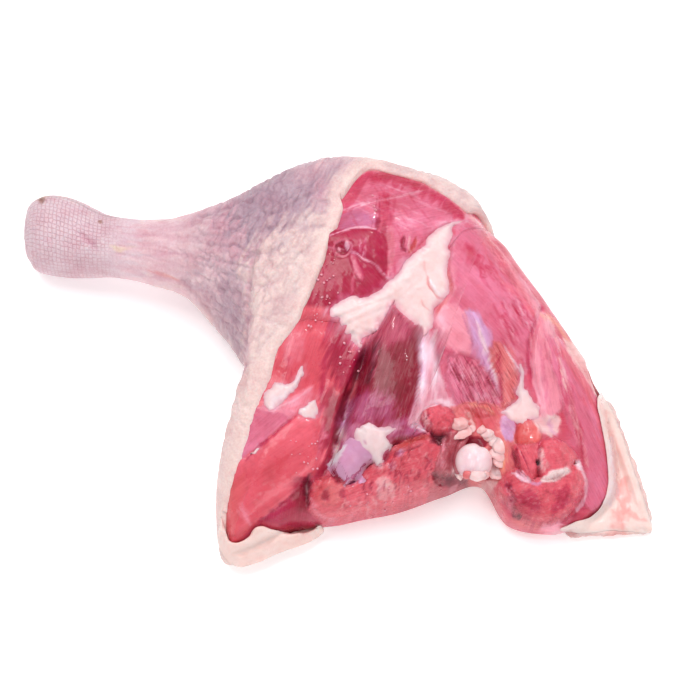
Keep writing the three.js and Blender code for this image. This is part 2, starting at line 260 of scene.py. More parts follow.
def build(name, parts, tint=None, grain=None, touch=None, merge=1e-3):
    """One mesh object from parts, each a grid (array, flip) or points with faces (array, array). Points
    closer than `merge` millimetres become one. It takes the points' colours and grain."""
    points = np.concatenate([p.reshape(-1, 3) for p, _ in parts])
    faces, first = [], 0
    for p, way in parts:
        made = way + first if isinstance(way, np.ndarray) else quads_of(*p.shape[:2], way, first)
        faces.append(made)
        first += p.size // 3
    faces = np.concatenate(faces)
    key = np.round(points / merge).astype(np.int64)
    _, keep, same = np.unique(key, axis=0, return_index=True, return_inverse=True)
    same = same.reshape(-1)
    faces = same[faces]
    nxt = np.roll(faces, -1, axis=1)
    fresh = faces != nxt
    whole = faces[fresh.all(1)]
    broken = faces[fresh.sum(1) == 3]
    corners = broken[fresh[fresh.sum(1) == 3]].reshape(-1, 3)
    mesh = bpy.data.meshes.new(name)
    mesh.vertices.add(len(keep))
    mesh.vertices.foreach_set("co", ((points[keep] + SHIFT) * MM).astype(np.float32).ravel())
    loops = np.concatenate([whole.ravel(), corners.ravel()])
    mesh.loops.add(len(loops))
    mesh.loops.foreach_set("vertex_index", loops.astype(np.int32))
    sizes = np.concatenate([np.full(len(whole), 4), np.full(len(corners), 3)])
    mesh.polygons.add(len(sizes))
    mesh.polygons.foreach_set("loop_start", (np.cumsum(sizes) - sizes).astype(np.int32))
    mesh.polygons.foreach_set("use_smooth", np.ones(len(sizes), bool))
    mesh.update(calc_edges=True)
    if tint is not None:
        layer = mesh.attributes.new("tint", "FLOAT_COLOR", "POINT")
        colours = np.concatenate([linear(tint[keep]), np.ones((len(keep), 1))], 1)
        layer.data.foreach_set("color", colours.astype(np.float32).ravel())
    for label, values in (("grain", grain), ("touch", touch)):
        if values is not None:
            layer = mesh.attributes.new(label, "FLOAT_VECTOR", "POINT")
            layer.data.foreach_set("vector", values[keep].astype(np.float32).ravel())
    piece = bpy.data.objects.new(name, mesh)
    bpy.context.scene.collection.objects.link(piece)
    triangles = 2 * len(whole) + len(corners)
    print(f"{name}: {len(keep)} points, {triangles} triangles")
    return piece


def linear(colour):
    """Screen colour (0 to 1) to the light it stands for."""
    colour = np.clip(colour, 0, 1)
    return np.where(colour <= 0.04045, colour / 12.92, ((colour + 0.055) / 1.055) ** 2.4)


# %% [markdown]
# ## Unevenness
# Nothing on the leg is even. A cloud is random heights on a lattice, blended smoothly and added up
# at halving sizes. It bends outlines, mottles colours and dents surfaces.

# %% Random clouds


def cloud(point, size, seed, octaves=3):
    """Smooth random values from -1 to 1, with features of about `size` millimetres."""
    total, weight = np.zeros(point.shape[:-1]), 0.0
    for k in range(octaves):
        p = point / size * 2**k + 17.3 * (seed + k)
        cell = np.floor(p).astype(np.int64)
        f = p - cell
        f = f * f * (3 - 2 * f)
        value = np.zeros(point.shape[:-1])
        for corner in np.ndindex(*(2,) * point.shape[-1]):
            c = cell + np.array(corner)
            h = np.zeros(point.shape[:-1], np.uint64)
            for n, prime in zip(range(point.shape[-1]), (73856093, 19349663, 83492791)):
                h ^= (c[..., n] * prime).astype(np.uint64)
            h = (h ^ np.uint64(seed * 7919 + k)) * np.uint64(0x9E3779B97F4A7C15)
            h = (h ^ (h >> np.uint64(31))) * np.uint64(0xBF58476D1CE4E5B9)
            share = np.prod([f[..., n] if corner[n] else 1 - f[..., n] for n in range(len(corner))], 0)
            value += share * ((h >> np.uint64(40)).astype(float) / 2**23 - 1)
        total += value * 0.5**k
        weight += 0.5**k
    return total / weight


# %% [markdown]
# ## Painting in the picture's plane
# Muscles, seams, fat and stains are marks: outlines and lines with a soft or ragged edge, given in
# the picture's pixels. A mark has a colour, and it can raise or sink the surface. A piece's points
# are looked up in the picture, the marks that reach them raise them, and then colour them.

# %% Marks


def curve(path, count=8):
    """A smooth path through points: Catmull-Rom with `count` steps a run."""
    path = np.asarray(path, float)
    if len(path) < 3:
        return path
    ends = np.vstack([2 * path[0] - path[1], path, 2 * path[-1] - path[-2]])
    f = np.arange(count)[:, None] / count
    runs = []
    for a, b, c, d in zip(ends[:-3], ends[1:-2], ends[2:-1], ends[3:]):
        runs.append(spline(a, b, c, d, f))
    return np.vstack([*runs, path[-1:]])


def closed_curve(outline, count):
    """A smooth outline through points and back to the first one."""
    return curve(np.vstack([outline, outline[:1]]), count)[:-1]


def nearest(points, path):
    """Distance of points to a path of straight runs, and how far along it, from 0 to 1."""
    a, b = path[:-1], path[1:]
    run = b - a
    length = np.maximum(np.hypot(*run.T), 1e-9)
    start = np.concatenate([[0], np.cumsum(length)[:-1]])
    best, along = np.full(len(points), 1e9), np.zeros(len(points))
    for k in range(len(a)):
        s = np.clip(((points - a[k]) @ run[k]) / length[k] ** 2, 0, 1)
        away = np.hypot(*(points - a[k] - s[:, None] * run[k]).T)
        closer = away < best
        best = np.where(closer, away, best)
        along = np.where(closer, start[k] + s * length[k], along)
    return best, along / (start[-1] + length[-1])


def depth_in(points, outline):
    """Distance of points to a closed outline, positive inside."""
    ring = np.vstack([outline, outline[:1]])
    away, _ = nearest(points, ring)
    within = np.zeros(len(points), bool)
    for (x0, y0), (x1, y1) in zip(ring[:-1], ring[1:]):
        if y0 != y1:
            spans = (points[:, 1] >= min(y0, y1)) & (points[:, 1] < max(y0, y1))
            within ^= spans & (points[:, 0] < x0 + (points[:, 1] - y0) * (x1 - x0) / (y1 - y0))
    return np.where(within, away, -away)


def area(outline, colour=None, strength=1.0, soft=3.0, lift=0.0, dome=0.0, rag=0.8, grain=None, comb=None,
         patch=None, fibre=None, coarse=None):
    """A mark that fills an outline. Its lift starts over `soft` pixels, and rounds off over `dome`. Its
    colour feathers along the angle `comb`, and a share `patch` of what lies below shows through."""
    shape = closed_curve(outline, 4)
    patch = patch if patch is not None else 0.0 if strength > 0.94 else 0.35
    return dict(shape=shape, closed=True, colour=colour, strength=strength, soft=soft, lift=lift, dome=dome,
                rag=rag, grain=grain, comb=comb, patch=patch, fibre=fibre, coarse=coarse,
                reach=1.5 * soft + 2 * rag)


def line(path, width, colour=None, strength=0.9, soft=1.0, lift=0.0, rag=0.5, taper=True, comb=None,
         patch=0.3):
    """A mark along a path, `width` pixels wide, which thins out at its ends."""
    return dict(shape=curve(path), closed=False, colour=colour, strength=strength, soft=soft, lift=lift,
                dome=0.0, rag=rag, grain=None, comb=comb, patch=patch, fibre=None, coarse=None, width=width,
                taper=taper, reach=width + 1.5 * soft + 2 * rag)


def uneven(at, comb):
    """Cloud values from about -1 to 1 on pixels, drawn out six times along the angle `comb` if given."""
    if comb is None:
        return cloud(at, 6, 7, 3) * 1.7
    turn = np.radians(comb)
    along = at @ np.array([np.cos(turn), -np.sin(turn)])
    across = at @ np.array([np.sin(turn), np.cos(turn)])
    return cloud(np.stack([along / 6, across], -1), 3.0, 8, 2) * 1.7


def mask_of(mark, pixel, wander, paint=True):
    """How much of a mark lies on each pixel: its paint, patchy at the edge, or else its smooth lift."""
    low, high = mark["shape"].min(0) - mark["reach"], mark["shape"].max(0) + mark["reach"]
    near = np.flatnonzero(((pixel > low) & (pixel < high)).all(-1))
    if not len(near):
        return near, None
    at, half = pixel[near] + mark["rag"] * wander[near], mark["soft"] / 2
    if mark["closed"]:
        inside = depth_in(at, mark["shape"])
    else:
        away, along = nearest(at, mark["shape"])
        thin = np.sqrt(np.clip(4 * along * (1 - along), 0.02, 1)) ** 0.8 if mark["taper"] else 1.0
        inside = mark["width"] / 2 * thin - away
    if paint:
        noise = uneven(at, mark["comb"])
        amount = smooth(-half, half, inside + noise * half)
        return near, amount * (1 - mark["patch"] * np.clip(0.5 + noise, 0, 1))
    if mark["dome"]:
        share = np.clip(inside / mark["dome"], 0, 1)
        return near, np.sqrt(share * (2 - share))
    return near, smooth(-half, half, inside)


def raised(pixel, marks, wander):
    """The height that the marks give to each pixel, in millimetres."""
    lift = np.zeros(len(pixel))
    for mark in marks:
        if mark["lift"]:
            near, up = mask_of(mark, pixel, wander, False)
            if len(near):
                lift[near] += mark["lift"] * up
    return lift


def painted(pixel, marks, wander, base):
    """The colour that the marks leave on each pixel, over one base colour or one for each pixel."""
    tint = np.array(np.broadcast_to(base, (len(pixel), 3)), float)
    for mark in marks:
        if mark["colour"] is not None:
            near, amount = mask_of(mark, pixel, wander)
            if len(near):
                share = (amount * mark["strength"])[:, None]
                tint[near] += (np.array(mark["colour"]) / 255 - tint[near]) * share
    return tint


def grained(pixel, marks, wander):
    """Coordinates along and across the fibres of the muscle that each pixel lies on."""
    grain = np.stack([pixel[:, 0], pixel[:, 1], np.zeros(len(pixel))], -1)
    for index, mark in enumerate(marks):
        if mark["grain"] is not None:
            near, amount = mask_of(mark, pixel, wander, False)
            near = near[amount > 0.5] if len(near) else near
            turn = np.radians(mark["grain"])
            x, y = pixel[near].T
            grain[near] = np.stack([x * np.cos(turn) - y * np.sin(turn),
                                    x * np.sin(turn) + y * np.cos(turn), np.full(len(near), index)], -1)
    return grain * 0.3


def touched(pixel, marks, wander, fibre, coarse):
    """How strongly fibres show on each pixel, and how rough its grain is, from 0 to 1."""
    touch = np.tile((fibre, coarse, 0.0), (len(pixel), 1))
    for mark in marks:
        for n, key in enumerate(("fibre", "coarse")):
            if mark[key] is not None:
                near, amount = mask_of({**mark, "dome": 0.0, "soft": mark["soft"] + 3}, pixel, wander, False)
                if len(near):
                    touch[near, n] += (mark[key] - touch[near, n]) * amount
    return touch


def wander_of(pixel):
    """Two clouds that push a ragged edge about, for each pixel."""
    return np.stack([cloud(pixel, 9, 5, 3), cloud(pixel, 9, 6, 3)], -1) * 1.6


# %% [markdown]
# ## Finishes
# Raw meat is wet and lets light in, so each finish is a Principled shader with subsurface
# scattering and a thin clear coat for the moisture. The painted tint gives the colour. A node group
# adds fibres that follow the grain, another the pores of the skin.

# %% Shader helpers


def node(tree, kind, **values):
    """A node with its properties and input values set."""
    made = tree.nodes.new(kind)
    for key, value in values.items():
        if key in made.inputs:
            made.inputs[key].default_value = value
        else:
            setattr(made, key, value)
    return made


def new_group(name, inputs, outputs):
    """An empty shader node group with named inputs and outputs."""
    tree = bpy.data.node_groups.new(name, "ShaderNodeTree")
    for label, kind, value in inputs:
        socket = tree.interface.new_socket(label, in_out="INPUT", socket_type=kind)
        if value is not None:
            socket.default_value = value
    for label, kind in outputs:
        tree.interface.new_socket(label, in_out="OUTPUT", socket_type=kind)
    return tree, tree.nodes.new("NodeGroupInput"), tree.nodes.new("NodeGroupOutput")


def helpers(tree):
    """Short ways to add a Map Range and a Math node to a tree, each with its output."""

    def ranged(value, low, high, start, end):
        made = node(tree, "ShaderNodeMapRange")
        for key, number in zip(("From Min", "From Max", "To Min", "To Max"), (low, high, start, end)):
            made.inputs[key].default_value = number
        tree.links.new(value, made.inputs["Value"])
        return made.outputs[0]

    def maths(operation, *values):
        made = node(tree, "ShaderNodeMath", operation=operation)
        for socket, value in zip(made.inputs, values):
            if isinstance(value, float):
                socket.default_value = value
            else:
                tree.links.new(value, socket)
        return made.outputs[0]

    def mixed(kind, share, one, other):
        made = node(tree, "ShaderNodeMix", data_type="RGBA", blend_type=kind)
        for socket, value in zip((made.inputs[0], made.inputs[6], made.inputs[7]), (share, one, other)):
            tree.links.new(value, socket)
        return made.outputs[2]

    return ranged, maths, mixed


def fibre_group():
    """Muscle: noise stretched 11 times along the grain darkens and pales it, as Touch.x says, and a
    finer noise roughens it where it was cut across, as Touch.y says."""
    tree, given, put = new_group(
        "muscle fibres",
        [("Tint", "NodeSocketColor", None), ("Grain", "NodeSocketVector", None),
         ("Touch", "NodeSocketVector", None), ("Dark", "NodeSocketColor", (0.42, 0.10, 0.14, 1)),
         ("Pale", "NodeSocketColor", (0.95, 0.55, 0.60, 1))],
        [("Color", "NodeSocketColor"), ("Height", "NodeSocketFloat"), ("Roughness", "NodeSocketFloat")])
    link = tree.links.new
    ranged, maths, mixed = helpers(tree)
    amounts = node(tree, "ShaderNodeSeparateXYZ")
    link(given.outputs["Touch"], amounts.inputs[0])
    fibrous, rough = amounts.outputs[0], amounts.outputs[1]
    stretch = node(tree, "ShaderNodeVectorMath", operation="MULTIPLY")
    stretch.inputs[1].default_value = (0.09, 1.0, 1.0)
    link(given.outputs["Grain"], stretch.inputs[0])
    fibres = node(tree, "ShaderNodeTexNoise", Scale=2.0, Detail=4.0, Roughness=0.6)
    link(stretch.outputs[0], fibres.inputs["Vector"])
    place = node(tree, "ShaderNodeTexCoord")
    noises = []
    for scale, detail in ((230.0, 4.0), (560.0, 4.0), (2600.0, 2.0)):
        noises.append(node(tree, "ShaderNodeTexNoise", Scale=scale, Detail=detail, Roughness=0.6))
        link(place.outputs["Object"], noises[-1].inputs["Vector"])
    blotch, lumps, fine = (made.outputs["Fac"] for made in noises)
    thread = fibres.outputs["Fac"]
    dark = maths("MULTIPLY", ranged(thread, 0.5, 0.7, 0.0, 1.0), fibrous)
    dark = maths("ADD", dark, maths("MULTIPLY", ranged(lumps, 0.5, 0.7, 0.0, 0.55), rough))
    dark = maths("ADD", dark, ranged(blotch, 0.5, 0.72, 0.0, 0.22))
    pale = maths("MULTIPLY", ranged(thread, 0.48, 0.32, 0.0, 0.28), fibrous)
    pale = maths("ADD", pale, maths("MULTIPLY", ranged(lumps, 0.44, 0.3, 0.0, 0.25), rough))
    shade = mixed("MULTIPLY", dark, given.outputs["Tint"], given.outputs["Dark"])
    link(mixed("MIX", pale, shade, given.outputs["Pale"]), put.inputs["Color"])
    height = maths("MULTIPLY", thread, maths("MULTIPLY_ADD", fibrous, 1.3, 0.15))
    height = maths("ADD", height, maths("MULTIPLY", lumps, maths("MULTIPLY_ADD", rough, 2.4, 0.12)))
    height = maths("ADD", height, maths("MULTIPLY", blotch, 0.7))
    link(maths("ADD", height, maths("MULTIPLY", fine, 0.12)), put.inputs["Height"])
    link(ranged(blotch, 0.3, 0.7, 0.2, 0.46), put.inputs["Roughness"])
    return tree


FIBRES = fibre_group()


def pore_group():
    """Skin: small scales in rows on the hock, and soft pores elsewhere, as colour and height. Touch.x
    is the strength of the scales, Touch.y of the pores."""
    tree, given, put = new_group(
        "skin pores",
        [("Tint", "NodeSocketColor", None), ("Grain", "NodeSocketVector", None),
         ("Touch", "NodeSocketVector", None), ("Between", "NodeSocketColor", (0.7, 0.5, 0.5, 1))],
        [("Color", "NodeSocketColor"), ("Height", "NodeSocketFloat"), ("Roughness", "NodeSocketFloat")])
    link = tree.links.new
    place = node(tree, "ShaderNodeTexCoord")
    amounts = node(tree, "ShaderNodeSeparateXYZ")
    link(given.outputs["Touch"], amounts.inputs[0])
    scales = node(tree, "ShaderNodeTexVoronoi", feature="DISTANCE_TO_EDGE", Scale=0.78, Randomness=0.3)
    link(given.outputs["Grain"], scales.inputs["Vector"])
    pores = node(tree, "ShaderNodeTexVoronoi", feature="SMOOTH_F1", Scale=900.0, Smoothness=0.7)
    link(place.outputs["Object"], pores.inputs["Vector"])
    blotch = node(tree, "ShaderNodeTexNoise", Scale=160.0, Detail=5.0, Roughness=0.6)
    link(place.outputs["Object"], blotch.inputs["Vector"])
    fine = node(tree, "ShaderNodeTexNoise", Scale=1600.0, Detail=3.0)
    link(place.outputs["Object"], fine.inputs["Vector"])

    ranged, maths, mixed = helpers(tree)
    groove = maths("MULTIPLY", ranged(scales.outputs["Distance"], 0.0, 0.16, 1.0, 0.0), amounts.outputs[0])
    pit = maths("MULTIPLY", ranged(fine.outputs["Fac"], 0.35, 0.7, 0.0, 0.35), amounts.outputs[1])
    vein = ranged(blotch.outputs["Fac"], 0.45, 0.7, 0.0, 0.35)
    darker = maths("ADD", maths("MULTIPLY", groove, 0.55), maths("ADD", pit, vein))
    link(mixed("MULTIPLY", darker, given.outputs["Tint"], given.outputs["Between"]), put.inputs["Color"])
    mound = maths("SUBTRACT", maths("MULTIPLY", fine.outputs["Fac"], 0.35), maths("MULTIPLY", groove, 0.5))
    mound = maths("ADD", mound, maths("MULTIPLY", pores.outputs["Distance"], -0.5))
    link(maths("ADD", mound, blotch.outputs["Fac"]), put.inputs["Height"])
    link(ranged(blotch.outputs["Fac"], 0.3, 0.7, 0.38, 0.6), put.inputs["Roughness"])
    return tree


PORES = pore_group()
SCATTER_DEPTH = 0.0016  # metres that light travels inside meat, fat and skin
WET_IOR = 1.34  # refraction of the moisture
BUMP_DEPTH = 0.0004


def wet_material(name, group, scatter, radius, coat, bump, settings, film=0.12):
    """A Principled shader whose colour, roughness and bump come from a group that reads the tint."""
    material = bpy.data.materials.new(name)
    material.use_nodes = True
    tree = material.node_tree
    shader = tree.nodes["Principled BSDF"]
    shader.inputs["Subsurface Weight"].default_value = scatter
    shader.inputs["Subsurface Radius"].default_value = radius
    shader.inputs["Subsurface Scale"].default_value = SCATTER_DEPTH
    shader.inputs["Coat Weight"].default_value = coat
    shader.inputs["Coat Roughness"].default_value = film
    shader.inputs["IOR"].default_value = WET_IOR
    tint = node(tree, "ShaderNodeAttribute", attribute_name="tint")
    finish = node(tree, "ShaderNodeGroup", node_tree=group)
    tree.links.new(tint.outputs["Color"], finish.inputs["Tint"])
    for label in ("Grain", "Touch"):
        if label in finish.inputs:
            carried = node(tree, "ShaderNodeAttribute", attribute_name=label.lower())
            tree.links.new(carried.outputs["Vector"], finish.inputs[label])
    for key, value in settings.items():
        finish.inputs[key].default_value = value
    tree.links.new(finish.outputs["Color"], shader.inputs["Base Color"])
    tree.links.new(finish.outputs["Roughness"], shader.inputs["Roughness"])
    relief = node(tree, "ShaderNodeBump", Strength=bump, Distance=BUMP_DEPTH)
    tree.links.new(finish.outputs["Height"], relief.inputs["Height"])
    tree.links.new(relief.outputs["Normal"], shader.inputs["Normal"])
    return material


MEAT = wet_material("wet meat", FIBRES, 0.3, (1.0, 0.25, 0.2), 0.28, 0.65, {}, 0.06)
SKIN_LOOK = wet_material("duck skin", PORES, 0.3, (1.0, 0.5, 0.4), 0.1, 0.85,
                         {"Between": (0.80, 0.55, 0.60, 1)}, 0.3)
FAT_LOOK = wet_material("soft fat", FIBRES, 0.4, (1.0, 0.6, 0.5), 0.2, 0.35,
                        {"Dark": (0.85, 0.62, 0.58, 1), "Pale": (0.97, 0.90, 0.88, 1)}, 0.2)
print("materials:", [m.name for m in bpy.data.materials])

# %% [markdown]
# ## The skin
# The skin is one closed wall: outside a sock round shank and calf, inside its lining, and past the
# cut edge a trough under the meat. The cut edge isn't straight: for each angle the station of the
# edge is found where the picture shows it.

# %% The cut edges of the skin
CUT_EDGE = np.array([
    (372, 168), (364, 173), (357, 182), (347, 196), (343, 204), (342, 213), (337, 232), (331, 240),
    (327, 250), (324, 262), (316, 282), (311, 296), (305, 308), (300, 322), (290, 335), (280, 350),
    (274, 370), (262, 404), (247, 450), (238, 477), (229, 511), (225, 535), (224, 560),
], float)
# Where the skin's back rim ends on the meat, in the picture. Its left end is on the cut edge.
BAND_EDGE = np.array([
    (344, 202), (352, 188), (359, 178), (366, 172.5), (377, 171), (395, 173), (415, 179), (433, 190),
    (450, 201), (464, 212), (481, 227), (495, 245), (512, 265), (530, 290),
], float)
# Past the mouth the skin's rims lie at the back and front edge. Where the thigh was cut through they
# drop under the meat, between these stations, by these angles.
FRONT_BARE, FRONT_DROP = (19.2, 20.0, 24.8, 25.4), 0.8
BACK_BARE, BACK_DROP = (20.9, 21.7, 24.7, 25.3), 0.5
BAND_SHARE = 0.16  # least angle of skin that shows over the silhouette
BAND_END = 20.9  # past this station the back rim is at the back edge
BAND_LOW = 0.06  # the back rim's angle there
BAND_ROWS = np.linspace(MOUTH, BAND_END, 160)
RAGGED = 1.1  # pixels by which the cut edge strays to either side


def between(t, bounds):
    """0 outside four rising bounds, 1 between the middle two, smooth in between."""
    return smooth(bounds[0], bounds[1], t) * (1 - smooth(bounds[2], bounds[3], t))


def band_angle(t):
    """Angle at each station where the lining crosses the line of the back rim in the picture. The rim
    always comes a little over the back's silhouette, so that a strip of skin shows."""
    angle = np.linspace(0, 1.6, 321)
    pixel = to_picture(leg_point(np.asarray(t)[..., None], angle, SKIN))
    below = pixel[..., 1] > np.interp(pixel[..., 0], BAND_EDGE[:, 0], BAND_EDGE[:, 1])
    crest = np.argmin(pixel[..., 1], -1)
    below &= np.arange(len(angle)) >= crest[..., None]
    return np.maximum(angle[np.argmax(below, -1)], angle[crest] + BAND_SHARE)


band = band_angle(BAND_ROWS)
BAND_ANGLES = np.convolve(np.pad(band, 3, mode="edge"), np.ones(7) / 7, "valid")
CORNER = BAND_ANGLES[0]  # angle at which the cut edge turns into the back rim
print("the skin's corner is at angle", round(float(CORNER), 2))


def mouth_station(angle):
    """Station of the cut edge at each angle over the top: where the lining crosses the picture's
    line, a little ragged. It starts at the corner with the back rim and ends at the front edge."""
    t = np.linspace(MOUTH - 1.4, MOUTH + 1.2, 521)
    pixel = to_picture(leg_point(t[:, None], angle[None], SKIN))
    ragged = cloud(np.stack([angle * 55, angle * 0], -1), 3.2, 27, 2) * RAGGED
    beyond = pixel[..., 0] > np.interp(pixel[..., 1], CUT_EDGE[:, 1], CUT_EDGE[:, 0]) + ragged
    found = t[np.argmax(beyond, 0)]
    return MOUTH + (found - MOUTH) * smooth(CORNER, CORNER + 0.08, angle) * (1 - smooth(2.75, 3.0, angle))


def front_rim(t):
    """Angle of the skin's front rim: at the front edge, or under it where the meat is bare."""
    return np.pi + FRONT_DROP * between(t, FRONT_BARE)


def back_rim(t):
    """Angle of the back rim: on the picture's line from the corner on, and then close to the back
    edge, or below it where the meat is bare."""
    line_share = 1 - smooth(BAND_END - 0.6, BAND_END, t)
    rim = BAND_LOW + (np.interp(t, BAND_ROWS, BAND_ANGLES) - BAND_LOW) * line_share
    return rim - (rim + BACK_DROP) * between(t, BACK_BARE)


print("cut edge runs from station", mouth_station(np.linspace(0.5, 2.9, 5)).round(2))
print("back rim angles", back_rim(np.linspace(MOUTH, TIP, 12)).round(2))

# %% [markdown]
# The wall is made of grids in station and angle that share their borders: the sock above and below,
# the trough, the same again for the lining, and strips across the wall at the cut edge and at both
# rims. A strip bulges a little, because cut skin is round at its edge. Folds and lumps push the
# outside along its normal, which is the cross product of the surface's two directions, taken in the
# order that points it outwards. All faces of a piece are turned outwards too.

# %% Points of the skin


def normal_of(t, angle, wall=0.0):
    """Outward unit normal: the cross product of the surface's steps in angle and in station."""
    step_t, step_a = 0.04, 0.02
    t = np.clip(t, 0.1, TIP - 0.1)
    along = leg_point(t + step_t, angle, wall) - leg_point(t - step_t, angle, wall)
    around = leg_point(t, angle + step_a, wall) - leg_point(t, angle - step_a, wall)
    normal = np.cross(around, along)
    return normal / np.maximum(np.linalg.norm(normal, axis=-1, keepdims=True), 1e-9)


def seen(point, normal):
    """1 where a surface turns its face to the camera, 0 where it turns away."""
    look = EYE - point
    look /= np.linalg.norm(look, axis=-1, keepdims=True)
    return smooth(0.02, 0.25, (normal * look).sum(-1))


def feather_rows(point):
    """Slanting lumps where the feathers sat, 0 in the creases and 1 on top: the size of a cloud that is
    drawn out along the slant, so that its zero lines are the creases."""
    slant = np.radians(64)
    along = point[..., 0] * np.cos(slant) + point[..., 1] * np.sin(slant)
    across = point[..., 0] * np.sin(slant) - point[..., 1] * np.cos(slant)
    drawn = np.stack([along / 1.7, across, point[..., 2] / 1.4], -1)
    return np.clip(np.abs(cloud(drawn, 2.1, 21, 2)) * 3.0, 0, 1)


def shank_rows(point):
    """Fine wrinkles along the shank, from -1 to 1."""
    return cloud(point * np.array([0.3, 1, 1]), 1.8, 23, 2)


def plain_edge(pixel):
    """0 on the smooth fat along the cut edge, 1 away from it."""
    return smooth(5, 20, nearest(pixel, CUT_EDGE)[0] - smooth(330, 380, pixel[:, 1]) * 12)


def calf_share(point):
    """0 on the shank, 1 on the calf, by the place along the leg."""
    return smooth(-58, -36, point[..., 0] + cloud(point, 12, 26, 2) * 8)


def skin_height(point, normal):
    """How far folds, lumps and scales push the outside out, by picture marks and by clouds."""
    shape = point.shape[:-1]
    flat, shown = point.reshape(-1, 3), seen(point, normal).ravel()
    pixel = to_picture(flat)
    wander = wander_of(pixel)
    lift = raised(pixel, SKIN_MARKS, wander) * shown
    calf = calf_share(flat)
    lumps = feather_rows(flat) * 0.5 + cloud(flat, 9, 22, 2) * 0.5 - 0.3
    on_calf = lumps * calf * (0.25 + 0.75 * plain_edge(pixel))
    on_shank = (shank_rows(flat) * 0.13 + cloud(flat, 12, 24, 2) * 0.35) * (1 - calf)
    lift += on_calf + on_shank
    return lift.reshape(shape)


def skin_point(t, angle, depth=0.0, thin=0.0):
    """A point of the skin, `depth` under its outside, with the folds of the outside. `thin` is how
    much the outside is lowered, as it is towards the cut edge."""
    t, angle, depth, thin = np.broadcast_arrays(*[np.asarray(v, float) for v in (t, angle, depth, thin)])
    point = leg_point(t, angle, depth)
    normal = normal_of(t, angle)
    share = 1 - np.clip(depth / SKIN, 0, 1)
    point = point + normal * ((skin_height(point, normal) - thin) * share)[..., None]
    point[..., 2] = np.maximum(point[..., 2], 0)
    return point


# %% [markdown]
# What the skin shows: the hock is covered with small scales and has a brown hole where a feather
# sat. The shank is streaked, and its skin gathers into wrinkles where the leg widens. Over the calf
# it is thick, cream and lumpy, and pale at the cut edge. Where it lies thin on the muscle it is grey,
# and that grey is partly painted shade, since that side turns from the light. Painted shade also
# darkens the calf's left flank and the creases of its wrinkles and folds.

# %% Marks on the skin
PALE_SKIN, INNER_FAT, LIP_FAT = (240, 216, 212), (243, 212, 206), (248, 222, 216)
SHADE_SKIN, STREAK, VEIN = (190, 162, 176), (216, 168, 184), (236, 216, 184)
COOL_SKIN, ROSY_SKIN, BLUSH, OLD_BROWN = (230, 206, 214), (237, 206, 212), (233, 152, 148), (150, 100, 80)

SKIN_MARKS = [
    area([(16, 186), (60, 186), (110, 203), (150, 213), (150, 290), (90, 290), (40, 286), (14, 250)],
         COOL_SKIN, soft=24),
    line([(77, 231), (88, 240), (97, 249)], 5, STREAK, 0.8, soft=4, lift=-0.35),
    area([(38, 195), (43, 195), (44, 202), (39, 202)], OLD_BROWN, 0.8, lift=-0.8),
    area([(33, 192), (46, 190), (48, 196), (36, 200)], VEIN, 0.6, soft=4, lift=0.3),
    line([(98, 221), (102, 222)], 3, OLD_BROWN, 0.8, soft=2),
    line([(112, 246), (120, 249), (136, 247)], 5, VEIN, 0.8, soft=4),
    area([(140, 212), (220, 206), (245, 214), (250, 350), (215, 316), (170, 292), (138, 286)], ROSY_SKIN,
         soft=30, comb=-6),
    line([(136, 236), (160, 230), (186, 224), (214, 214)], 6, STREAK, 0.5, soft=6, comb=5),
    line([(140, 254), (166, 254), (192, 254), (214, 250)], 5, STREAK, 0.5, soft=5, comb=0),
    line([(148, 270), (172, 278), (190, 288), (204, 306), (212, 322)], 4, BLUSH, 0.7, soft=4, comb=-30),
    area([(180, 270), (232, 262), (250, 350), (232, 344), (205, 316), (184, 296)], ROSY_SKIN, 0.8, soft=22,
         comb=-55),
    # Painted shade on the calf's left flank, which faces down and away from the light.
    area([(214, 286), (240, 262), (250, 350), (244, 376), (232, 352), (214, 320)], SHADE_SKIN, 0.75, soft=14,
         comb=-60),
    line([(230, 330), (238, 352), (244, 372)], 8, SHADE_SKIN, 0.6, soft=6, comb=-60),
    area([(200, 200), (262, 184), (262, 240), (250, 262), (228, 256), (206, 236)], STREAK, 0.9, soft=22,
         comb=40),
    # Grey where the skin lies thin on the muscle, and painted shade where it turns from the light.
    area([(226, 196), (262, 172), (300, 158), (346, 152), (340, 174), (318, 200), (296, 214), (270, 236),
          (250, 240), (232, 222)], SHADE_SKIN, soft=20, comb=58, lift=0.3),
    area([(290, 160), (352, 152), (352, 168), (330, 174), (300, 186)], ROSY_SKIN, 0.8, soft=12, comb=30),
    area([(246, 260), (262, 240), (296, 224), (320, 204), (334, 176), (356, 160), (372, 160), (372, 172),
          (344, 203), (330, 245), (300, 325), (262, 404), (225, 535), (214, 500), (222, 450), (243, 386),
          (246, 330)], PALE_SKIN, soft=18, comb=60),
    area([(326, 226), (346, 196), (356, 172), (376, 160), (376, 172), (340, 240), (310, 300), (300, 290)],
         LIP_FAT, 0.85, soft=12),
    area([(226, 470), (242, 430), (256, 394), (262, 404), (232, 520), (218, 540), (214, 500)], INNER_FAT, 0.8,
         soft=8),
    line([(262, 362), (252, 392), (240, 430), (228, 476), (222, 520)], 9, LIP_FAT, 0.6, soft=8),
    line([(246, 384), (236, 420), (224, 460), (217, 500), (218, 540)], 5, ROSY_SKIN, 0.6, soft=5),
    area([(317, 180), (326, 178), (328, 200), (323, 212), (315, 208), (313, 192)], STREAK, 0.75, soft=8),
    # Two sunk folds, darkened with painted shade.
    line([(345, 160), (334, 168), (326, 180), (318, 186)], 6, SHADE_SKIN, 0.5, soft=6, lift=-0.4),
    line([(254, 254), (249, 280), (248, 320), (245, 368)], 5, STREAK, 0.6, soft=5, lift=-0.7),
    line([(262, 250), (256, 276), (255, 320), (252, 372), (246, 400)], 12, None, lift=0.9, soft=10),
]


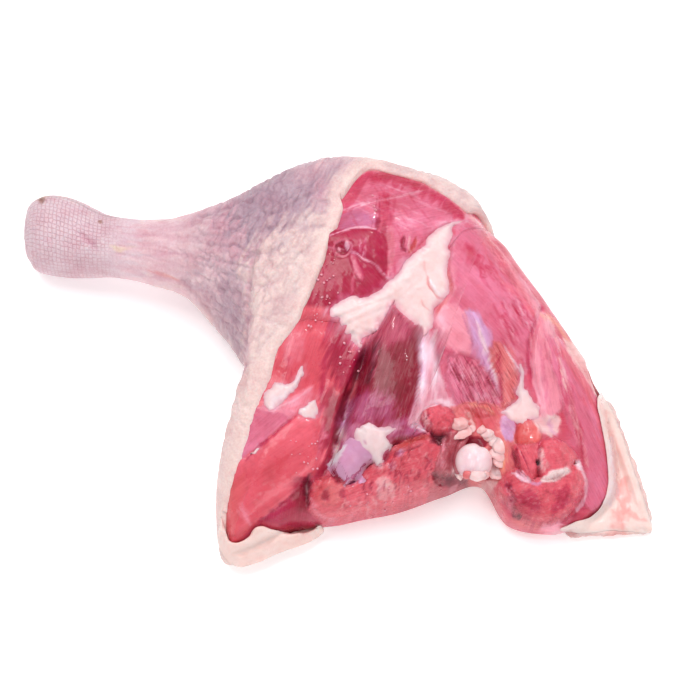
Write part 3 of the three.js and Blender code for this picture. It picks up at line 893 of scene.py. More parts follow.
def fan(start, finish, count, sway, seed):
    """`count` paths whose ends lie evenly along two rows, each bent sideways by a seeded amount."""
    draw = np.random.default_rng(seed)
    start, finish = curve(start, 6), curve(finish, 6)
    paths = []
    for share in (np.arange(count) + draw.uniform(-0.3, 0.3, count)) / (count - 1):
        a = start[int(np.clip(share, 0, 1) * (len(start) - 1))]
        b = finish[int(np.clip(share, 0, 1) * (len(finish) - 1))]
        side = np.array([-(b - a)[1], (b - a)[0]]) / np.linalg.norm(b - a)
        paths.append([a, a * 0.65 + b * 0.35 + side * draw.normal(0, sway),
                      a * 0.35 + b * 0.65 + side * draw.normal(0, sway), b])
    return paths


# Streaks along the shank, the wrinkles that fan out below it, and the folds of the calf.
# The grey lines of the wrinkles and folds are painted shade in their sunk creases.
for path in fan([(118, 222), (116, 246), (120, 270)], [(226, 216), (224, 262), (206, 300)], 13, 3.0, 1):
    SKIN_MARKS.append(line(path, 3.0, STREAK, 0.25, soft=3, lift=-0.12, rag=1.5))
for path in fan([(200, 218), (196, 262), (178, 284)], [(252, 200), (250, 300), (244, 360)], 12, 3.0, 2):
    SKIN_MARKS.append(line(path, 4.0, SHADE_SKIN, 0.4, soft=5, lift=-0.5, rag=2))
for path in fan([(232, 204), (226, 236), (246, 262)], [(318, 156), (330, 186), (322, 236)], 13, 4.0, 3):
    SKIN_MARKS.append(line(path[::-1], 5.0, SHADE_SKIN, 0.35, soft=6, lift=-0.5, rag=3))
for path in fan([(250, 262), (246, 330), (232, 470)], [(318, 240), (280, 350), (244, 480)], 10, 4.0, 4):
    SKIN_MARKS.append(line(path, 3.0, ROSY_SKIN, 0.3, soft=4, lift=-0.3, rag=3))

# Skin that is seen from its inside: the flap at the thigh's end, and the fat at the other corner.
FLAP_MARKS = [
    area([(596, 384), (604, 392), (628, 442), (642, 480), (656, 536), (556, 536), (596, 500), (612, 470)],
         INNER_FAT, 0.9, soft=5),
    line([(600, 394), (608, 430), (614, 462), (617, 500), (618, 520)], 4, BLUSH, 0.75, soft=4, rag=1),
    area([(618, 482), (626, 480), (630, 504), (624, 514), (617, 502)], BLUSH, 0.8, soft=4, rag=1),
    area([(610, 510), (624, 514), (624, 540), (608, 538)], BLUSH, 0.75, soft=6, rag=2),
    line([(622, 508), (634, 518), (646, 522)], 4, BLUSH, 0.7, soft=4, rag=1),
    area([(566, 524), (600, 506), (612, 516), (606, 534), (580, 532)], INNER_FAT, 0.8, soft=8),
    area([(604, 450), (612, 440), (617, 480), (612, 510), (604, 500)], COOL_SKIN, 0.7, soft=5),
]

# %% [markdown]
# The lumps of the calf's skin are the rows of feather pits. They are too large for a bump in the
# material, so the mesh has them. The mesh is fine where the camera's side is and coarse below.

# %% The skin's mesh
LIP = np.linspace(0, 1, 7)
EDGE_THIN = 0.5  # how much the wall thins out at the cut edge
SOCK_ROWS = np.concatenate([np.linspace(0, 0.55, 90)[:-1], np.linspace(0.55, 1, 200)])
LINING_ROWS = np.linspace(0, 1, 12)
TROUGH_ROWS = np.concatenate([np.linspace(MOUTH, MOUTH + 0.8, 40)[:-1], np.linspace(MOUTH + 0.8, TIP, 110)])
OVER_ANGLES = np.linspace(CORNER, np.pi, 212)
UNDER_OUT, UNDER_IN = np.linspace(0, 1, 40), np.linspace(0, 1, 56)


def skin_grids():
    """All grids of the skin's wall: points, whether their faces are turned, depth, and surface
    coordinates (station and angle)."""
    mouth = mouth_station(OVER_ANGLES)
    ends = smooth(CORNER, CORNER + 0.05, OVER_ANGLES) * (1 - smooth(np.pi - 0.15, np.pi, OVER_ANGLES))
    over = SOCK_ROWS[:, None] * mouth
    thin = EDGE_THIN * smooth(0.93, 1.0, SOCK_ROWS)[:, None] * ends
    over_in = FUNNEL + LINING_ROWS[:, None] * (mouth - FUNNEL)
    sock, lining = SOCK_ROWS[:, None] * MOUTH, FUNNEL + LINING_ROWS[:, None] * (MOUTH - FUNNEL)
    trough = TROUGH_ROWS[:, None]
    front, back = front_rim(TROUGH_ROWS)[:, None], back_rim(TROUGH_ROWS)[:, None]
    turn = np.pi + CORNER
    span = 2 * np.pi + back - front
    swell = np.sin(np.pi * LIP)
    start = smooth(MOUTH, MOUTH + 0.1, TROUGH_ROWS)[:, None]
    parts = [
        (over, OVER_ANGLES, 0.0, thin, True),
        (sock, np.pi + UNDER_OUT * turn, 0.0, 0.0, True),
        (trough, front + UNDER_OUT * span, 0.0, 0.0, True),
        (over_in, OVER_ANGLES, SKIN, 0.0, False),
        (lining, np.pi + UNDER_IN * turn, SKIN, 0.0, False),
        (trough, front + UNDER_IN * span, SKIN, 0.0, False),
        (mouth[:, None] + 0.05 * ends[:, None] * swell, OVER_ANGLES[:, None], SKIN * LIP,
         EDGE_THIN * ends[:, None], False),
        (trough, front - 0.03 * start * swell, SKIN * LIP, 0.0, False),
        (trough, 2 * np.pi + back + 0.04 * start * swell, SKIN * LIP, 0.0, True),
    ]
    grids = []
    for t, angle, depth, thin, flip in parts:
        t, angle, depth, thin = np.broadcast_arrays(t, angle, depth, thin)
        grids.append((skin_point(t, angle, depth, thin), flip, depth, np.stack([t, angle], -1)))
    return grids


grids = skin_grids()
heel = grids[0][0][0].mean(0)
for n in (0, 1):
    grids[n][0][0] = heel
tip = grids[2][0][-1].mean(0)
for n in (2, 5, 7, 8):
    grids[n][0][-1] = tip
hub = leg_point(FUNNEL, np.linspace(0, 2 * np.pi, 33), SKIN).mean(0)
for n in (3, 4):
    ring, way = grids[n][0][0], grids[n][3][0]
    cap = np.stack([np.broadcast_to(hub, ring.shape), ring])
    grids.append((cap, False, np.full(cap.shape[:2], SKIN), np.stack([way, way])))

CREASE_SHADE, WRINKLE_SHADE = np.array([0.05, 0.07, 0.055]), np.array([0.01, 0.04, 0.03])
skin_points, depths, ways = (
    np.concatenate([g[n].reshape(-1, *g[n].shape[2:]) for g in grids]) for n in (0, 2, 3))
pixel = to_picture(skin_points)
inner = smooth(0.5, 2.0, depths)[:, None]
mottle = cloud(skin_points, 7, 31, 3)[:, None]
calf = calf_share(skin_points) * (1 - inner[:, 0])
crease = ((1 - feather_rows(skin_points)) * calf * plain_edge(pixel))[:, None]
wrinkle = (np.clip(-shank_rows(skin_points) * 2, 0, 1) * (1 - calf_share(skin_points))
           * (1 - inner[:, 0]))[:, None]
base = np.array(PALE_SKIN) / 255 * (1 - inner) + np.array(INNER_FAT) / 255 * inner
tint = painted(pixel, SKIN_MARKS, wander_of(pixel), base)
tint = tint * (1 - inner) + base * inner
tint = painted(pixel, FLAP_MARKS, wander_of(pixel), tint)
tint *= 1 + mottle * np.array([0.03, 0.055, 0.045])
tint += (np.array(LIP_FAT) / 255 - tint) * 0.7 * ((1 - plain_edge(pixel))[:, None] * (1 - inner))
# Painted shade darkens the creases between the calf's lumps and the shank's wrinkles.
tint *= 1 - 0.03 * calf[:, None] - crease * CREASE_SHADE - wrinkle * WRINKLE_SHADE

# Surface coordinates in millimetres along and round the shank, and how strong scales and pores are.
around = np.where(ways[:, 1] > np.pi, 2 * np.pi - ways[:, 1], ways[:, 1]) * 11.0
along = skin_points[:, 0]
grain = np.stack([along, around, np.zeros_like(along)], -1)
touch = np.stack([1 - smooth(-78, -62, along + cloud(skin_points, 9, 33, 2) * 6), 1 - inner[:, 0],
                  np.zeros_like(along)], -1)
skin = build("duck_skin", [(g[0], g[1]) for g in grids], tint, grain, touch)
skin.data.materials.append(SKIN_LOOK)
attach(skin, "root")
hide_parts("skin")

# %% [markdown]
# ## The muscles
# Every muscle is a mark with a rounded edge, so that a groove is left where two of them meet, and
# with the direction of its fibres. White seams, red streaks and stains lie over them. Dark red marks
# in the deep valley, under an overhang, in cavities, creases and a notch are painted shade, and one
# white dot is a painted highlight. The lists follow the leg: calf, left side, middle, thigh, joint.

# %% Colours of meat and fat
ROSE, PINK, CRIMSON, MAGENTA = (222, 119, 146), (238, 152, 170), (196, 50, 84), (182, 44, 82)
# The near black one is painted shade for the inside of a hole.
WINE, MAROON, HOLLOW_SHADE, BROWN = (150, 24, 58), (92, 22, 44), (60, 14, 28), (176, 84, 96)
SALMON, ORANGE, RUST, APRICOT = (226, 100, 116), (228, 112, 112), (198, 66, 68), (247, 174, 146)
LILAC, MAUVE, FILM, WHITE = (214, 160, 200), (196, 110, 148), (240, 188, 204), (249, 228, 238)
FAT, FAT_SHADE, FAT_RED = (243, 212, 212), (240, 190, 190), (226, 122, 126)
WEAVE_LIFT = (-0.15, 0.12)  # of dark and of pale fibres


def strokes(start, finish, count, width, colour, strength, seed, length=0.5, sway=1.0, lift=0.0, soft=1.4):
    """Fibres between two rows: `count` thin lines, each a seeded stretch of the way across."""
    draw = np.random.default_rng(seed)
    start, finish = curve(start, 6), curve(finish, 6)
    made = []
    for share in draw.uniform(0, 1, count):
        a = start[int(share * (len(start) - 1))]
        b = finish[int(share * (len(finish) - 1))]
        size = length * draw.uniform(0.5, 1.3)
        low = draw.uniform(0, max(1 - size, 0.01))
        p, q = a + (b - a) * low, a + (b - a) * min(low + size, 1.0)
        side = np.array([-(q - p)[1], (q - p)[0]]) / max(np.linalg.norm(q - p), 1e-6)
        jog = side * draw.normal(0, 2.0)
        made.append(line([p + jog, (p + q) / 2 + jog + side * draw.normal(0, sway), q + jog],
                         width * draw.uniform(0.6, 1.4), colour, strength * draw.uniform(0.5, 1), soft=soft,
                         lift=lift))
    return made


def weave(start, finish, counts, colours, seed, length=0.3, sway=1.0, strength=0.5):
    """Sunk dark fibres and raised pale ones over the same stretch."""
    made = []
    for n, (count, colour, lift) in enumerate(zip(counts, colours, WEAVE_LIFT)):
        made += strokes(start, finish, count, 2.0 - 0.3 * n, colour, strength, seed + n, length, sway, lift)
    return made


# %% Calf muscles, above the knee fat
CALF_MARKS = [
    area([(322, 210), (338, 186), (352, 168), (366, 164), (388, 166), (412, 172), (444, 186), (462, 201),
          (474, 216), (482, 226), (462, 228), (448, 224), (428, 236), (408, 260), (389, 282), (372, 262),
          (340, 248), (314, 246)], ROSE, soft=2, lift=1.0, dome=16, grain=12, fibre=0.2),
    line([(337, 224), (343, 205), (352, 190), (362, 178), (374, 176), (392, 178), (412, 184), (432, 194),
          (450, 205), (463, 217)], 13, CRIMSON, 0.8, soft=9, taper=False, comb=60),
    line([(350, 180), (366, 170), (380, 169), (396, 171), (415, 177), (433, 187), (450, 198), (464, 210),
          (476, 222), (490, 240)], 5, FAT_SHADE, 0.75, soft=3, taper=False),
    line([(386, 194), (384, 214), (383, 232), (385, 252), (387, 274)], 14, CRIMSON, 0.8, soft=10, lift=-0.5,
         comb=88),
    line([(384, 222), (383, 240), (386, 268)], 7, WINE, 0.6, soft=5, comb=88),
    area([(340, 214), (352, 210), (372, 213), (377, 224), (360, 228), (338, 232)], MAUVE, 0.75, soft=6,
         comb=10),
    line([(344, 210), (360, 204), (374, 202)], 2.4, FILM, 0.6, soft=2, lift=0.15),
    line([(352, 209), (373, 202), (398, 197), (424, 191)], 2.2, FILM, 0.7, soft=2, lift=0.15),
    line([(404, 236), (402, 246), (407, 252)], 4, WINE, 0.9, soft=2.5, lift=-0.5, rag=1),
    line([(416, 238), (414, 247), (410, 253)], 4.5, RUST, 0.9, soft=2.5, lift=-0.5, rag=1),
    line([(410, 234), (409, 246), (412, 254)], 2, FAT_SHADE, 0.7, soft=1.5, lift=0.25),
    *strokes([(350, 214), (372, 184), (400, 184)], [(380, 262), (400, 250), (440, 226)], 26, 2.0, CRIMSON,
             0.35, 11, length=0.35),
    *strokes([(346, 200), (356, 186), (372, 178)], [(424, 236), (448, 222), (462, 214)], 26, 1.8, FILM, 0.35,
             12, length=0.25),
    *strokes([(376, 196), (392, 196)], [(378, 262), (394, 262)], 14, 1.8, WINE, 0.4, 13, length=0.25),
]

# %% The dark muscle below the first seam
SHIN_MARKS = [
    area([(318, 232), (350, 228), (372, 229), (386, 240), (386, 274), (389, 282), (378, 291), (362, 298),
          (334, 305), (318, 308), (288, 306), (300, 262), (312, 240)], MAGENTA, soft=2, lift=0.5, dome=10,
         grain=-50, fibre=0.15),
    line([(328, 236), (336, 233), (345, 230), (357, 227), (366, 227), (376, 229)], 2.6, FILM, 0.9, soft=1.8,
         lift=0.25),
    line([(327, 247), (342, 250), (355, 253), (363, 259), (374, 264), (381, 271), (390, 281)], 2.4, FILM,
         0.85, soft=1.6, lift=0.25),
    area([(335, 243), (344, 239), (352, 243), (350, 254), (342, 258), (334, 254)], WINE, 0.8, lift=-0.5,
         rag=1),
    line([(335, 244), (342, 240), (350, 243), (351, 250), (344, 256), (336, 253), (334, 247), (336, 243)],
         2.6, PINK, 0.75, soft=1.8, lift=0.35, taper=False),
    # A painted highlight: the glint on the rim of the cut vessel.
    line([(346, 241), (348, 250)], 4, WHITE, 0.85, soft=2, lift=0.3),
    line([(338, 247), (341, 252)], 3, FILM, 0.8, soft=1.5, lift=0.2),
    line([(351, 255), (355, 264), (358, 272), (362, 281)], 7, PINK, 0.7, soft=3, lift=0.3),
    line([(355, 268), (353, 280), (352, 294)], 3, PINK, 0.6, soft=2),
    line([(304, 309), (316, 311), (330, 309)], 3, FILM, 0.85, soft=2, lift=0.2),
    *strokes([(364, 234), (384, 242)], [(362, 262), (382, 268)], 12, 1.6, FILM, 0.4, 14, length=0.4),
    *strokes([(320, 250), (350, 260)], [(310, 300), (356, 296)], 16, 1.8, WINE, 0.35, 15, length=0.3),
]

# %% The left side, down to the flap
SIDE_MARKS = [
    area([(284, 296), (306, 306), (328, 311), (341, 330), (352, 346), (366, 349), (362, 366), (352, 396),
          (345, 420), (337, 446), (330, 466), (318, 470), (300, 486), (275, 508), (250, 530), (212, 536),
          (214, 503), (228, 458), (246, 403), (260, 366), (274, 331)], SALMON, lift=0.8, dome=14, grain=70,
         fibre=0.15),
    area([(330, 322), (342, 332), (354, 348), (364, 352), (358, 376), (346, 390), (334, 380), (328, 345)],
         MAGENTA, soft=9, lift=0.5, comb=70),
    line([(330, 326), (327, 350), (325, 380), (320, 400)], 3, MAGENTA, 0.5, soft=4, lift=-0.4, comb=85),
    # Painted shade: the dark valley between this side and the raised lobe, and the slope down into it.
    area([(322, 396), (352, 388), (346, 410), (338, 440), (328, 462), (320, 440)], WINE, 0.85, soft=12,
         comb=72),
    line([(368, 346), (360, 370), (354, 392), (347, 408), (342, 428), (336, 444)], 13, MAROON, 0.85, soft=9,
         lift=-3.0, comb=72),
    line([(338, 440), (332, 460), (322, 478), (314, 496)], 10, WINE, 0.75, soft=8, lift=-2.2, comb=60),
    area([(246, 404), (280, 408), (296, 414), (283, 425), (262, 444), (230, 464)], ROSE, lift=0.3, dome=6,
         grain=40),
    area([(246, 458), (262, 444), (283, 426), (297, 416), (316, 420), (317, 438), (320, 457), (315, 472),
          (302, 487), (288, 500), (274, 509), (254, 527), (240, 541), (222, 546), (208, 536), (216, 503),
          (228, 466)], SALMON, lift=1.0, dome=14, grain=35, fibre=0.1),
    area([(218, 490), (234, 476), (246, 488), (240, 520), (226, 542), (212, 538)], ORANGE, 0.6, soft=18,
         comb=60),
    line([(246, 460), (260, 446), (271, 437), (283, 426), (298, 415)], 2.6, MAGENTA, 0.8, soft=2.4,
         lift=-0.4),
    *strokes([(236, 500), (262, 480)], [(254, 526), (276, 504)], 12, 2.4, PINK, 0.5, 16, length=0.6),
    area([(302, 487), (312, 482), (312, 512), (322, 526), (300, 532), (268, 528), (258, 520), (276, 508)],
         MAGENTA, soft=4, lift=0.5, dome=8, grain=80, fibre=0.2),
    # Painted shadow under the overhanging edge of the rough cut lobe.
    area([(294, 480), (312, 478), (316, 508), (304, 512), (294, 500)], WINE, 0.85, soft=8),
    line([(262, 524), (282, 529), (306, 529), (320, 524)], 5, ORANGE, 0.7, soft=5),
    area([(265, 412), (282, 404), (297, 394), (315, 388), (306, 404), (294, 416), (279, 414)], PINK, 0.85,
         soft=4, lift=0.2, rag=1.5, comb=20),
    line([(274, 408), (292, 402), (306, 392), (314, 386)], 2, FILM, 0.7, soft=2, lift=0.2),
    # Painted shadow under the cut lobe's overhang.
    line([(308, 476), (307, 492), (311, 508)], 9, MAROON, 0.8, soft=7, lift=-1.6),
    area([(284, 334), (298, 322), (302, 346), (294, 366), (284, 366)], PINK, 0.55, soft=6, rag=2),
    *strokes([(326, 330), (352, 350)], [(322, 400), (348, 396)], 26, 1.8, MAGENTA, 0.35, 17, length=0.3),
    *strokes([(324, 420), (346, 404)], [(316, 462), (332, 456)], 22, 1.8, ROSE, 0.35, 18, length=0.3),
    *strokes([(286, 350), (322, 350)], [(290, 384), (322, 396)], 16, 1.8, MAGENTA, 0.3, 19, length=0.3),
    *strokes([(318, 440), (322, 452)], [(330, 432), (332, 458)], 8, 2.0, PINK, 0.5, 20, length=0.5),
]

# %% The middle: the lobe with its torn sheath, and the rough cut below it
LOBE_MARKS = [
    area([(392, 305), (404, 316), (414, 325), (420, 344), (421, 364), (419, 384), (419, 402), (413, 424),
          (428, 434), (410, 441), (392, 446), (384, 464), (368, 465), (346, 486), (331, 468), (337, 446),
          (346, 419), (352, 397), (358, 376), (363, 364), (367, 348), (376, 331)], WINE, lift=4.2, dome=16,
         grain=72, fibre=0.35),
    area([(384, 308), (396, 306), (412, 320), (408, 340), (388, 346), (366, 352), (374, 330)], PINK, 0.6,
         soft=14, comb=72),
    area([(352, 398), (372, 390), (392, 396), (392, 418), (372, 424), (350, 424)], MAUVE, 0.85, soft=12,
         rag=2, comb=60),
    area([(384, 422), (404, 418), (420, 424), (424, 432), (400, 440), (390, 434)], MAUVE, 0.9, soft=6, rag=2,
         comb=20),
    area([(342, 420), (358, 424), (362, 444), (370, 458), (352, 486), (331, 470), (337, 446)], MAUVE, 0.95,
         soft=7, rag=2, comb=58),
    line([(352, 400), (346, 416), (340, 436), (334, 456), (331, 466)], 2.6, LILAC, 0.8, soft=2, lift=0.4),
    line([(357, 378), (354, 390), (350, 402)], 4, FAT_RED, 0.8, soft=3, lift=0.4),
    area([(416, 328), (430, 330), (435, 350), (441, 370), (447, 388), (458, 405), (452, 412), (437, 404),
          (424, 412), (416, 424), (408, 424), (416, 402), (418, 384), (420, 364), (419, 344)], FILM, soft=4,
         lift=0.9, dome=6, grain=82, comb=80, patch=0.2, fibre=0.2),
    line([(432, 330), (434, 350), (436, 372), (434, 388), (436, 402)], 4, WHITE, 0.95, soft=3, lift=0.3,
         comb=84),
    line([(421, 336), (423, 360), (423, 384), (420, 404)], 4, LILAC, 0.6, soft=4, comb=84),
    line([(438, 372), (445, 390), (454, 406)], 5, FILM, 0.8, soft=4, comb=-66),
    line([(456, 410), (446, 403), (436, 403), (426, 408), (419, 416), (417, 428)], 5, WHITE, 0.9, soft=3.5,
         rag=1.5),
    line([(410, 426), (418, 427), (428, 433)], 5, WHITE, 0.85, soft=3),
    area([(308, 494), (314, 482), (326, 476), (340, 478), (350, 486), (370, 466), (386, 460), (394, 446),
          (428, 434), (446, 446), (450, 462), (444, 480), (436, 500), (400, 512), (370, 518), (345, 524),
          (325, 522), (310, 512)], SALMON, soft=4, lift=2.4, dome=9, grain=20, fibre=0.2, coarse=0.55),
    area([(316, 486), (328, 480), (346, 486), (342, 500), (326, 506), (316, 500)], FAT_RED, 0.9, soft=7,
         rag=3),
    area([(376, 482), (384, 478), (396, 486), (394, 498), (380, 498)], FAT_SHADE, 0.85, soft=5, rag=4),
    area([(388, 463), (396, 461), (397, 468), (390, 470)], FILM, 0.85, rag=2),
    area([(394, 450), (402, 448), (407, 453), (400, 457)], LILAC, 0.8, rag=1.5),
    line([(392, 450), (404, 445), (416, 440), (429, 436)], 7, RUST, 0.9, soft=3, lift=0.5),
    line([(394, 455), (410, 450), (424, 444)], 3, WINE, 0.7, soft=3, lift=-0.5),
    line([(311, 498), (316, 512), (330, 519), (348, 519), (380, 512), (404, 506), (432, 499)], 4, PINK, 0.75,
         soft=3, taper=False, rag=1),
    area([(323, 493), (329, 492), (329, 500), (324, 500)], WINE, 0.6, lift=-0.6, rag=2.5),
    area([(339, 492), (346, 490), (346, 497), (340, 498)], MAGENTA, 0.6, lift=-0.4, rag=2.5),
    # Painted shade at the lower end of the valley beside the lobe.
    area([(330, 466), (340, 466), (346, 478), (338, 484), (331, 478)], WINE, 0.85, soft=4, lift=-1.2),
    # Painted shade in the cavity under the round cut end.
    area([(430, 431), (440, 430), (449, 434), (448, 446), (436, 448), (431, 440)], MAROON, 0.9, soft=4,
         lift=-1.6, rag=2),
    *strokes([(378, 336), (412, 330)], [(366, 390), (416, 392)], 46, 1.8, MAROON, 0.5, 21, length=0.25,
             lift=-0.15),
    *strokes([(380, 330), (412, 326)], [(372, 396), (414, 400)], 18, 1.5, PINK, 0.35, 22, length=0.2,
             lift=0.12),
    *strokes([(352, 396), (412, 396)], [(344, 424), (404, 428)], 26, 1.8, MAUVE, 0.4, 23, length=0.5),
    *strokes([(344, 424), (372, 446)], [(332, 464), (352, 484)], 26, 1.8, FAT, 0.55, 24, length=0.6),
    *strokes([(424, 336), (438, 350)], [(420, 408), (450, 402)], 26, 1.8, WHITE, 0.5, 25, length=0.35),
    *weave([(350, 484), (396, 452), (436, 446)], [(344, 516), (392, 508), (436, 490)], (60, 70),
           (WINE, FAT_SHADE), 26, 0.16, sway=2),
]

# %% The thigh, right of the knee fat
THIGH_MARKS = [
    area([(456, 225), (465, 221), (480, 228), (500, 250), (540, 306), (534, 330), (530, 350), (530, 372),
          (520, 360), (512, 400), (500, 412), (470, 418), (452, 402), (442, 370), (436, 345), (433, 318),
          (444, 300), (451, 290), (448, 270), (450, 245)], ROSE, soft=6, lift=0.8, dome=18, grain=-45,
         fibre=0.15),
    line([(484, 234), (500, 256), (516, 282), (528, 302), (538, 320)], 12, SALMON, 0.8, soft=9, comb=-58),
    line([(488, 232), (506, 258), (524, 286), (538, 310)], 4, PINK, 0.6, soft=4, comb=-58),
    line([(447, 268), (449, 280), (453, 292)], 5, RUST, 0.85, soft=3, rag=1),
    area([(434, 316), (446, 302), (462, 310), (472, 330), (470, 354), (448, 350), (437, 336)], PINK, soft=5,
         lift=0.3, rag=1, comb=-60),
    line([(436, 314), (441, 305), (449, 298)], 5, FAT_RED, 0.8, soft=4),
    area([(446, 352), (462, 354), (480, 362), (502, 392), (500, 410), (474, 414), (458, 402), (448, 380)],
         ROSE, soft=9, rag=1.5, lift=0.2, grain=-62, comb=-62, fibre=0.9),
    line([(437, 322), (440, 336), (446, 350), (456, 354), (472, 359)], 3, MAGENTA, 0.6, soft=3, rag=1.5),
    area([(464, 310), (476, 312), (490, 330), (493, 344), (491, 352), (493, 362), (497, 376), (503, 393),
          (494, 384), (486, 370), (478, 358), (471, 340)], LILAC, soft=5, lift=0.5, dome=5, grain=-65,
         comb=-65, patch=0.25, fibre=0.3),
    line([(476, 320), (484, 344), (490, 362), (496, 378), (502, 392)], 4, FAT, 0.9, soft=3, comb=-68),
    line([(460, 306), (466, 326), (473, 343), (480, 358), (487, 370), (495, 384)], 1.8, MAUVE, 0.7, soft=1.4,
         lift=-0.2),
    area([(494, 342), (504, 344), (518, 368), (519, 384), (512, 402), (502, 408), (503, 392), (495, 372),
          (491, 352)], FAT_RED, soft=5, lift=0.4, dome=6, rag=1, grain=-60, comb=-60, fibre=0.7),
    line([(504, 345), (512, 359), (520, 370)], 2.2, WHITE, 0.9, soft=1.6, lift=0.2),
    line([(541, 308), (534, 330), (531, 348), (531, 368), (536, 388), (542, 404)], 6, MAGENTA, 0.7, soft=6,
         lift=-1.2),
    area([(538, 312), (548, 316), (560, 350), (566, 380), (562, 410), (545, 420), (536, 396), (531, 368),
          (532, 340)], PINK, soft=5, lift=0.8, dome=8, grain=-80, comb=-82, fibre=0.2),
    area([(548, 336), (560, 338), (580, 366), (600, 402), (612, 445), (614, 480), (608, 505), (594, 512),
          (582, 500), (584, 470), (572, 440), (562, 400), (550, 362)], ROSE, soft=6, lift=1.0, dome=10,
         grain=-65, comb=-65, fibre=0.25),
    line([(556, 340), (572, 364), (590, 396), (604, 430), (612, 466), (610, 496)], 10, SALMON, 0.85, soft=9,
         comb=-66),
    line([(541, 314), (556, 324), (572, 346), (588, 370)], 6, APRICOT, 0.8, soft=5, comb=-55),
    area([(564, 340), (578, 348), (594, 374), (604, 398), (594, 392), (578, 366)], FAT_SHADE, 0.95, soft=6,
         comb=-60),
    *strokes([(454, 236), (476, 226), (492, 246)], [(500, 300), (520, 296), (534, 310)], 40, 1.8, CRIMSON,
             0.4, 31, length=0.22, sway=2),
    *strokes([(462, 240), (484, 240)], [(490, 278), (508, 270)], 30, 3.0, CRIMSON, 0.5, 32, length=0.22,
             sway=3),
    *weave([(484, 300), (506, 296), (522, 300)], [(516, 352), (532, 340), (536, 330)], (46, 26),
           (CRIMSON, FILM), 33, 0.3),
    *weave([(446, 352), (468, 358), (488, 364)], [(470, 410), (490, 410), (504, 404)], (60, 46), (WINE, FILM),
           35, 0.22),
    *strokes([(496, 346), (506, 350)], [(504, 404), (516, 394)], 24, 1.6, CRIMSON, 0.5, 37, length=0.3),
    *strokes([(540, 320), (562, 346)], [(548, 410), (566, 420)], 26, 1.6, ROSE, 0.45, 38, length=0.3),
    *weave([(556, 344), (574, 360)], [(588, 470), (608, 460)], (40, 30), (CRIMSON, FAT_SHADE), 39, 0.22),
    *strokes([(440, 312), (460, 312)], [(448, 346), (470, 346)], 16, 1.5, FILM, 0.5, 41, length=0.4),
]

